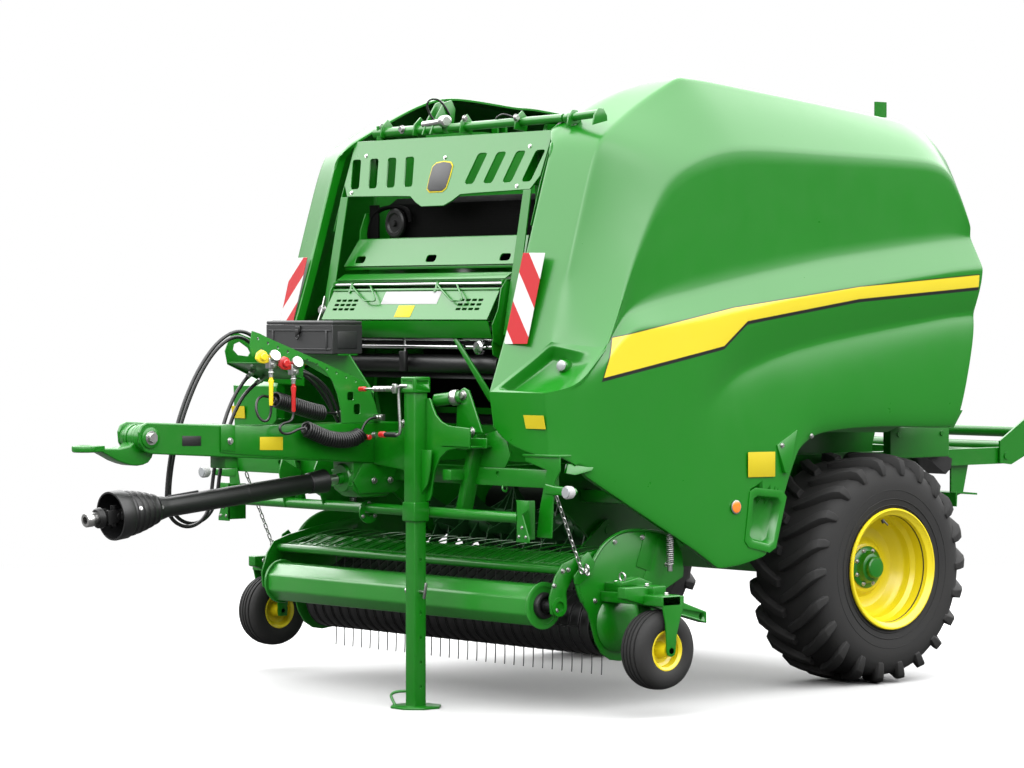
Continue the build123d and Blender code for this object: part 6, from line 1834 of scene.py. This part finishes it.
class BALER_OT_crossmember(bpy.types.Operator):
    """The drilled front crossmember, its leaning struts, end brackets, lower bar and side lamps"""
    bl_idname = "baler.crossmember"
    bl_label = "Crossmember"

    def execute(self, context):
        holes = [rod((side * hole, -2320, z), (side * hole, -2290, z), radius, 20, 0)
                 for side in SIDES.values() for hole, z, radius in ((678, 528, 19), (840, 534, 13))]
        pieces = [smooth(cut(block((-1205, -2300, 478), (1205, -2240, 562), 0.003), *holes))]
        bar = (-2400, 325)
        fasteners = heads((1, 0, 0), 8, 7, *[(5, *on_circle(bar, 42, turn)) for turn in (90, 210, 330)])
        housings = []
        lenses = []
        for side in SIDES.values():
            # each plate's outline on the left, where it starts, its thickness, its broken edge and the edge's steps
            for outline, start, thick, *edge in (
                    (((700, 715), (748, 715), (640, 345), (590, 345)), -2350, 8, 0.002),
                    (((742, 715), (750, 715), (642, 345), (634, 345)), -2350, 64, 0.002),
                    (((748, 715), (830, 735), (900, 700), (930, 620), (890, 562), (700, 562)), -2300, 8, 0.003),
                    (((1290, 630), (1290, 560), (1250, 505), (1232, 250), (1130, 250), (1150, 380), (1200, 562),
                      (1050, 600), (1050, 630)), -2314, 9, 0.003, 3),
                    (((1108, 425), (1192, 425), (1192, 380), (1150, 360), (1196, 250), (1196, 232), (1108, 232)),
                     -2420, 9, 0.002),
                    (((1190, 500), (1250, 492), (1385, 486), (1398, 470), (1385, 452), (1250, 448), (1190, 452)),
                     -2318, 22, 0.006, 3)):
                pieces.append(slab([(side * x, z) for x, z in outline], "y", start, thick, *edge))
            pieces += [block((side * 1108, -2420, 240), (side * 1116, -2310, 420)),
                       block((side * 1040, -2322, 622), (side * 1290, -2240, 634), 0.003)]
            fasteners += heads((0, -1, 0), 6, 4, *[(side * x, -2420, z) for x, z in (
                (1128, 258), (1176, 258), (1150, 300))])
            housings.append(turned(((-2, 0), (-2, 28), (4, 30), (30, 28), (40, 20), (40, 0)),
                                   (side * 1400, -2372, 469), (0, 1, 0), 36))
            lenses.append(turned(((0, 0), (0, 18), (1, 24), (5, 26.5), (12, 26.5), (12, 0)),
                                 (side * 1400, -2380, 469), (0, 1, 0), 40))
        pieces += [rod((-1112, -2400, 343), (1112, -2400, 343), 25, 28),
                   turned(((0, 25), (0, 56), (9, 56), (9, 25)), (-4, *bar), (1, 0, 0), 36),
                   ring((880, -2290, 466), (1, 0, 0.3), 14, 5),
                   slab(((-2460, 562), (-2480, 520), (-2420, 330), (-2380, 330), (-2330, 480), (-2300, 562)), "x",
                        -330, 10, 0.003),
                   slab(((-2440, 562), (-2460, 500), (-2425, 320), (-2375, 320), (-2320, 500)), "x", -640, 10, 0.003)]
        made("crossmember_frame", pieces, "green", "chassis", "front_crossmember")
        made("crossmember_bolts", fasteners, "zinc")
        made("lamp_housings", housings, "lamp housing", "chassis", "front_lamps")
        made("lamp_faces", lenses, "lamp")
        return {"FINISHED"}


# ---------------------------------------------------------------- panels, plates and lamps on the hoods
GRIP_SKIN, GRIP_DEPTH = 1.19, 0.055  # metres: the skin lies further out than this, and is pressed in as deep
# the grip pocket in a hood's side: to the rear and up, in millimetres from the axle
GRIP = ((-1024, 393), (-997, 407), (-853, 392), (-832, 367), (-887, 180), (-921, 162), (-1030, 186), (-1051, 211))
# the pocket's tray: how large its outline is at each step, and how far out that step lies
GRIP_STEPS = ((1.3, 1245), (1.3, 1249.2), (1.24, 1250.4), (1.0, 1251), (0.96, 1247), (0.9, 1206), (0.84, 1199),
              (0.02, 1198))
WORK_LAMP = (1100, -2120, 1038)
REFLECTOR = (1249, -1143, 354)


def grip_tray(side):
    """The dished tray of the grip pocket, from loops of its outline."""
    middle = Vector([sum(values) / len(GRIP) for values in zip(*GRIP)])
    loops = []
    for share, out in GRIP_STEPS:
        loop = [middle + (Vector(corner) - middle) * share for corner in GRIP]
        loops.append([place(side * out, y, z) for y, z in loop + loop[:1]])
    return smooth(tidy(sheet_of(loops)), 50)


class BALER_OT_hood_trim(bpy.types.Operator):
    """The width-marker plates, blank tags, lamps, reflectors, grip pockets, wedges and arch skirts on the hoods"""
    bl_idname = "baler.hood_trim"
    bl_label = "Hood trim"

    def execute(self, context):
        for name, side in SIDES.items():
            out, body = (side, 0, 0), f"hood_{name[0]}"
            lamp, lamp_way = (side * WORK_LAMP[0], *WORK_LAMP[1:]), (side * 0.25, -0.95, 0.12)
            reflector = (side * REFLECTOR[0], *REFLECTOR[1:])
            inwards = (-side * 0.02, 0, 0)
            for piece, look, *shapes in (
                    ("marker_plate", "stripes", leaf(
                        side, ((828, -2132, 1566), (965, -2116, 1564), (965, -2228, 1140), (828, -2251, 1139)),
                        (0, 0.003, 0.001), 0.0006, 1)),
                    ("front_tag", "yellow plate", leaf(
                        side, ((1082, -2334, 751), (1204, -2322, 751), (1200, -2332, 813), (1074, -2343, 813)),
                        (0, -0.003, 0), 0.0004, 1)),
                    ("side_tag", "yellow plate", slab(
                        ((-1061, 494), (-877, 492), (-877, 613), (-1061, 615)), "x", side * 1249, side * 1.6, 0.0004)),
                    ("work_lamp_boss", "hood frame", turned(
                        ((-60, 38), (0, 30), (14, 28), (18, 25), (18, 0)), lamp, lamp_way, 32)),
                    ("work_lamp", "lamp", turned(
                        ((18, 0), (18, 25), (22, 25.5), (25, 23), (27, 16), (28, 0)), lamp, lamp_way, 32)),
                    ("grip_pocket", "hood", grip_tray(side)),
                    ("box_flare", "hood", smooth(leaf(
                        side, ((1262, -2248, 548), (1264, -2192, 538), (1256, -2081, 556), (1240, -2049, 583),
                               (1238, -2120, 596), (1238, -2215, 590)), inwards, 0.003, 2))),
                    # the slot's dark opening is a thin black plate on the pocket's floor: painted shade
                    ("grip_slot", "black", slab(
                        ((-996, 350), (-982, 352), (-1012, 205), (-1028, 208)), "x", side * 1200, side * 3, 0.0004)),
                    ("arch_wedge", "hood", smooth(leaf(
                        side, ((1249, -862, 645), (1249, -722, 716), (1268, -800, 505), (1268, -822, 507)), inwards,
                        0.002, 2))),
                    ("arch_bolts", "zinc", hexagon((side * 1252, -832, 642), out, 9, 8),
                     hexagon((side * 1244, -618, 683), out, 9, 6)),
                    ("arch_skirt", "hood frame", slab(
                        ((-487, 790), (-430, 695), (55, 685), (129, 709), (551, 695), (622, 786)), "x", side * 1120,
                        side * 4, 0.001)),
                    ("reflector", "amber", turned(
                        ((0, 0), (0, 26), (3, 29), (7, 27), (9, 20), (10, 0)), reflector, out, 32)),
                    ("reflector_rim", "zinc", turned(
                        ((0, 26), (0, 33), (4, 33), (5, 28), (4, 26)), reflector, out, 32))):
                made(f"{piece}_{name}", shapes, look, body)
        return {"FINISHED"}


# ---------------------------------------------------------------- finishes of the pieces that stay as packed
class BALER_OT_frame_finishes(bpy.types.Operator):
    """Paint, rubber and steel on the chamber, frame, gate, ramp and rear pieces"""
    bl_idname = "baler.frame_finishes"
    bl_label = "Frame finishes"

    def execute(self, context):
        for node in ("axle", "chassis_rails", "cross_tubes", "side_wall_left", "side_wall_right", "pickup_arms",
                     "hood_hinges", "bale_ramp", "gate_frame", "rear_camera"):
            repaint(node, machine_green())
        for node in ("front_belts", "gate_belts"):
            repaint(node, belt_rubber())
        repaint("chamber_rollers", dark_steel())
        repaint("feed_rotor", plain("rotor_paint", (0.006, 0.05, 0.009), 0.4, scale=120.0, strength=0.1))
        repaint("wheel_chock", black_plastic())
        beams = [block((side * 835, 330, 535), (side * 890, 780, 700), 0.006, 3) for side in SIDES.values()]
        beams += [rod((side * 888, y, 660), (side * 896, y, 660), 16, 6)
                  for side in SIDES.values() for y in (390, 720)]
        made("rear_box_beams", beams, "green")
        floor = slab(((-1160, -100), (-1150, 300), (-1140, 300), (-1140, -100)), "x", -600, 1200, 0.002)
        made("feed_floor", [floor], "shadow")
        return {"FINISHED"}


# ---------------------------------------------------------------- stage
CAMERA = (13.195, -11.757, 1.8435)
CAMERA_DOWN, CAMERA_ROUND = 1.091, 48.984  # degrees below level and round to the left
LENS = 122.96
# each lamp's name, place, size and power
LAMPS = (("key_lamp", (6.0, -11.0, 9.0), 5.0, 300), ("side_lamp", (12.0, 2.0, 8.0), 5.0, 150))
LAMPS_AIM = Vector((0.0, -0.4, 1.2))
SKY = (("From Min", 0.10), ("From Max", 0.40), ("To Min", 0.2), ("To Max", 5.2))  # heights, then the light's strength


class BALER_OT_stage(bpy.types.Operator):
    """A pale floor and backdrop, soft lamps and the camera"""
    bl_idname = "baler.stage"
    bl_label = "Stage"

    def execute(self, context):
        scene = context.scene
        scene.view_settings.view_transform = "Standard"
        clear()
        bpy.ops.mesh.primitive_plane_add(size=400, location=(0, 0, -0.0005))
        floor = active()
        settle(floor)
        floor.name = "floor"
        stage = Finish("pale_floor", roughness=0.9)
        tree = stage.tree
        path = tree.nodes.new("ShaderNodeLightPath")
        seen = Wire(stage, path.outputs["Is Camera Ray"])
        pale = stage.mix(stage.noise(0.6), (0.35, 0.35, 0.35), (0.37, 0.37, 0.37))
        glossy = Wire(stage, path.outputs["Is Glossy Ray"])
        stage.set("Base Color", stage.mix(seen, stage.mix(glossy, (0.13, 0.13, 0.13), (0.03, 0.03, 0.03)), pale))
        white = tree.nodes.new("ShaderNodeEmission")
        blend = tree.nodes.new("ShaderNodeMixShader")
        # far from the machine the floor turns into the backdrop's white
        away = stage.add("ShaderNodeVectorMath", {"operation": "LENGTH"}, {0: stage.spot}, "Value")
        far = stage.add("ShaderNodeMapRange", {"clamp": True, "interpolation_type": "SMOOTHSTEP"},
                        {"Value": away, "From Min": 4.5, "From Max": 9.0})
        stage.put(blend.inputs["Fac"], seen * far)
        tree.links.new(stage.shader.outputs["BSDF"], blend.inputs[1])
        tree.links.new(white.outputs["Emission"], blend.inputs[2])
        tree.links.new(blend.outputs["Shader"], tree.nodes["Material Output"].inputs["Surface"])
        floor.data.materials.append(stage.material)

        world = bpy.data.worlds.new("studio")
        scene.world = world
        world.use_nodes = True
        nodes, links = world.node_tree.nodes, world.node_tree.links
        light = nodes["Background"]
        # a bright overcast sky that falls off towards the horizon
        where = nodes.new("ShaderNodeTexCoord")
        split = nodes.new("ShaderNodeSeparateXYZ")
        rise = nodes.new("ShaderNodeMapRange")
        rise.interpolation_type = "SMOOTHSTEP"
        for socket, value in SKY:
            rise.inputs[socket].default_value = value
        links.new(where.outputs["Generated"], split.inputs[0])
        links.new(split.outputs["Z"], rise.inputs["Value"])
        links.new(rise.outputs["Result"], light.inputs["Strength"])
        light.inputs["Color"].default_value = (1.0, 1.0, 1.0, 1)
        backdrop = nodes.new("ShaderNodeBackground")
        backdrop.inputs["Color"].default_value = (1, 1, 1, 1)
        backdrop.inputs["Strength"].default_value = 1.0
        rays = nodes.new("ShaderNodeLightPath")
        either = nodes.new("ShaderNodeMath")
        either.operation = "MAXIMUM"
        links.new(rays.outputs["Is Camera Ray"], either.inputs[0])
        links.new(rays.outputs["Is Transmission Ray"], either.inputs[1])
        choice = nodes.new("ShaderNodeMixShader")
        links.new(either.outputs[0], choice.inputs["Fac"])
        links.new(light.outputs[0], choice.inputs[1])
        links.new(backdrop.outputs[0], choice.inputs[2])
        links.new(choice.outputs[0], nodes["World Output"].inputs["Surface"])

        for name, at, size, power in LAMPS:
            bpy.ops.object.light_add(type="AREA", location=at)
            lamp = active()
            lamp.name = name
            lamp.data.size = size
            lamp.data.energy = power
            lamp.rotation_euler = (LAMPS_AIM - Vector(at)).to_track_quat("-Z", "Y").to_euler()

        bpy.ops.object.camera_add(location=CAMERA)
        camera = active()
        camera.name = "camera"
        camera.rotation_euler = (radians(90 - CAMERA_DOWN), 0, radians(CAMERA_ROUND))
        camera.data.lens = LENS
        camera.data.sensor_width = 36
        camera.data.clip_end = 500
        scene.camera = camera
        return {"FINISHED"}


OPERATORS = (
    BALER_OT_stage, BALER_OT_hoses, BALER_OT_hoods, BALER_OT_hood_trim, BALER_OT_wheels, BALER_OT_gauge_wheels,
    BALER_OT_pickup, BALER_OT_crop_roller, BALER_OT_wind_guard, BALER_OT_gauge_brackets, BALER_OT_hangers,
    BALER_OT_front_panels, BALER_OT_top_gear, BALER_OT_toolbox, BALER_OT_hose_rack, BALER_OT_drawbar,
    BALER_OT_drive_shaft, BALER_OT_jack, BALER_OT_crossmember, BALER_OT_frame_finishes,
)


# ---------------------------------------------------------------- add-on
class BALER_PT_panel(bpy.types.Panel):
    """Sizes, colours and a button for each group of pieces"""
    bl_label = "Round Baler"
    bl_idname = "BALER_PT_panel"
    bl_space_type = "VIEW_3D"
    bl_region_type = "UI"
    bl_category = "Round Baler"

    def draw(self, context):
        for group in (sizes(), colors()):
            box = self.layout.box()
            for key in group.__annotations__:
                box.prop(group, key)
        for operator in OPERATORS:
            self.layout.operator(operator.bl_idname)


CLASSES = (BalerSizes, BalerColors, *OPERATORS, BALER_PT_panel)


def register():
    for cls in CLASSES:
        bpy.utils.register_class(cls)
    bpy.types.Scene.baler_sizes = bpy.props.PointerProperty(type=BalerSizes)
    bpy.types.Scene.baler_colors = bpy.props.PointerProperty(type=BalerColors)


def unregister():
    del bpy.types.Scene.baler_colors
    del bpy.types.Scene.baler_sizes
    for cls in reversed(CLASSES):
        bpy.utils.unregister_class(cls)


def main():
    """Makes every group of pieces."""
    register()
    for operator in OPERATORS:
        group, name = operator.bl_idname.split(".")
        getattr(getattr(bpy.ops, group), name)()


if __name__ == "__main__":
    main()
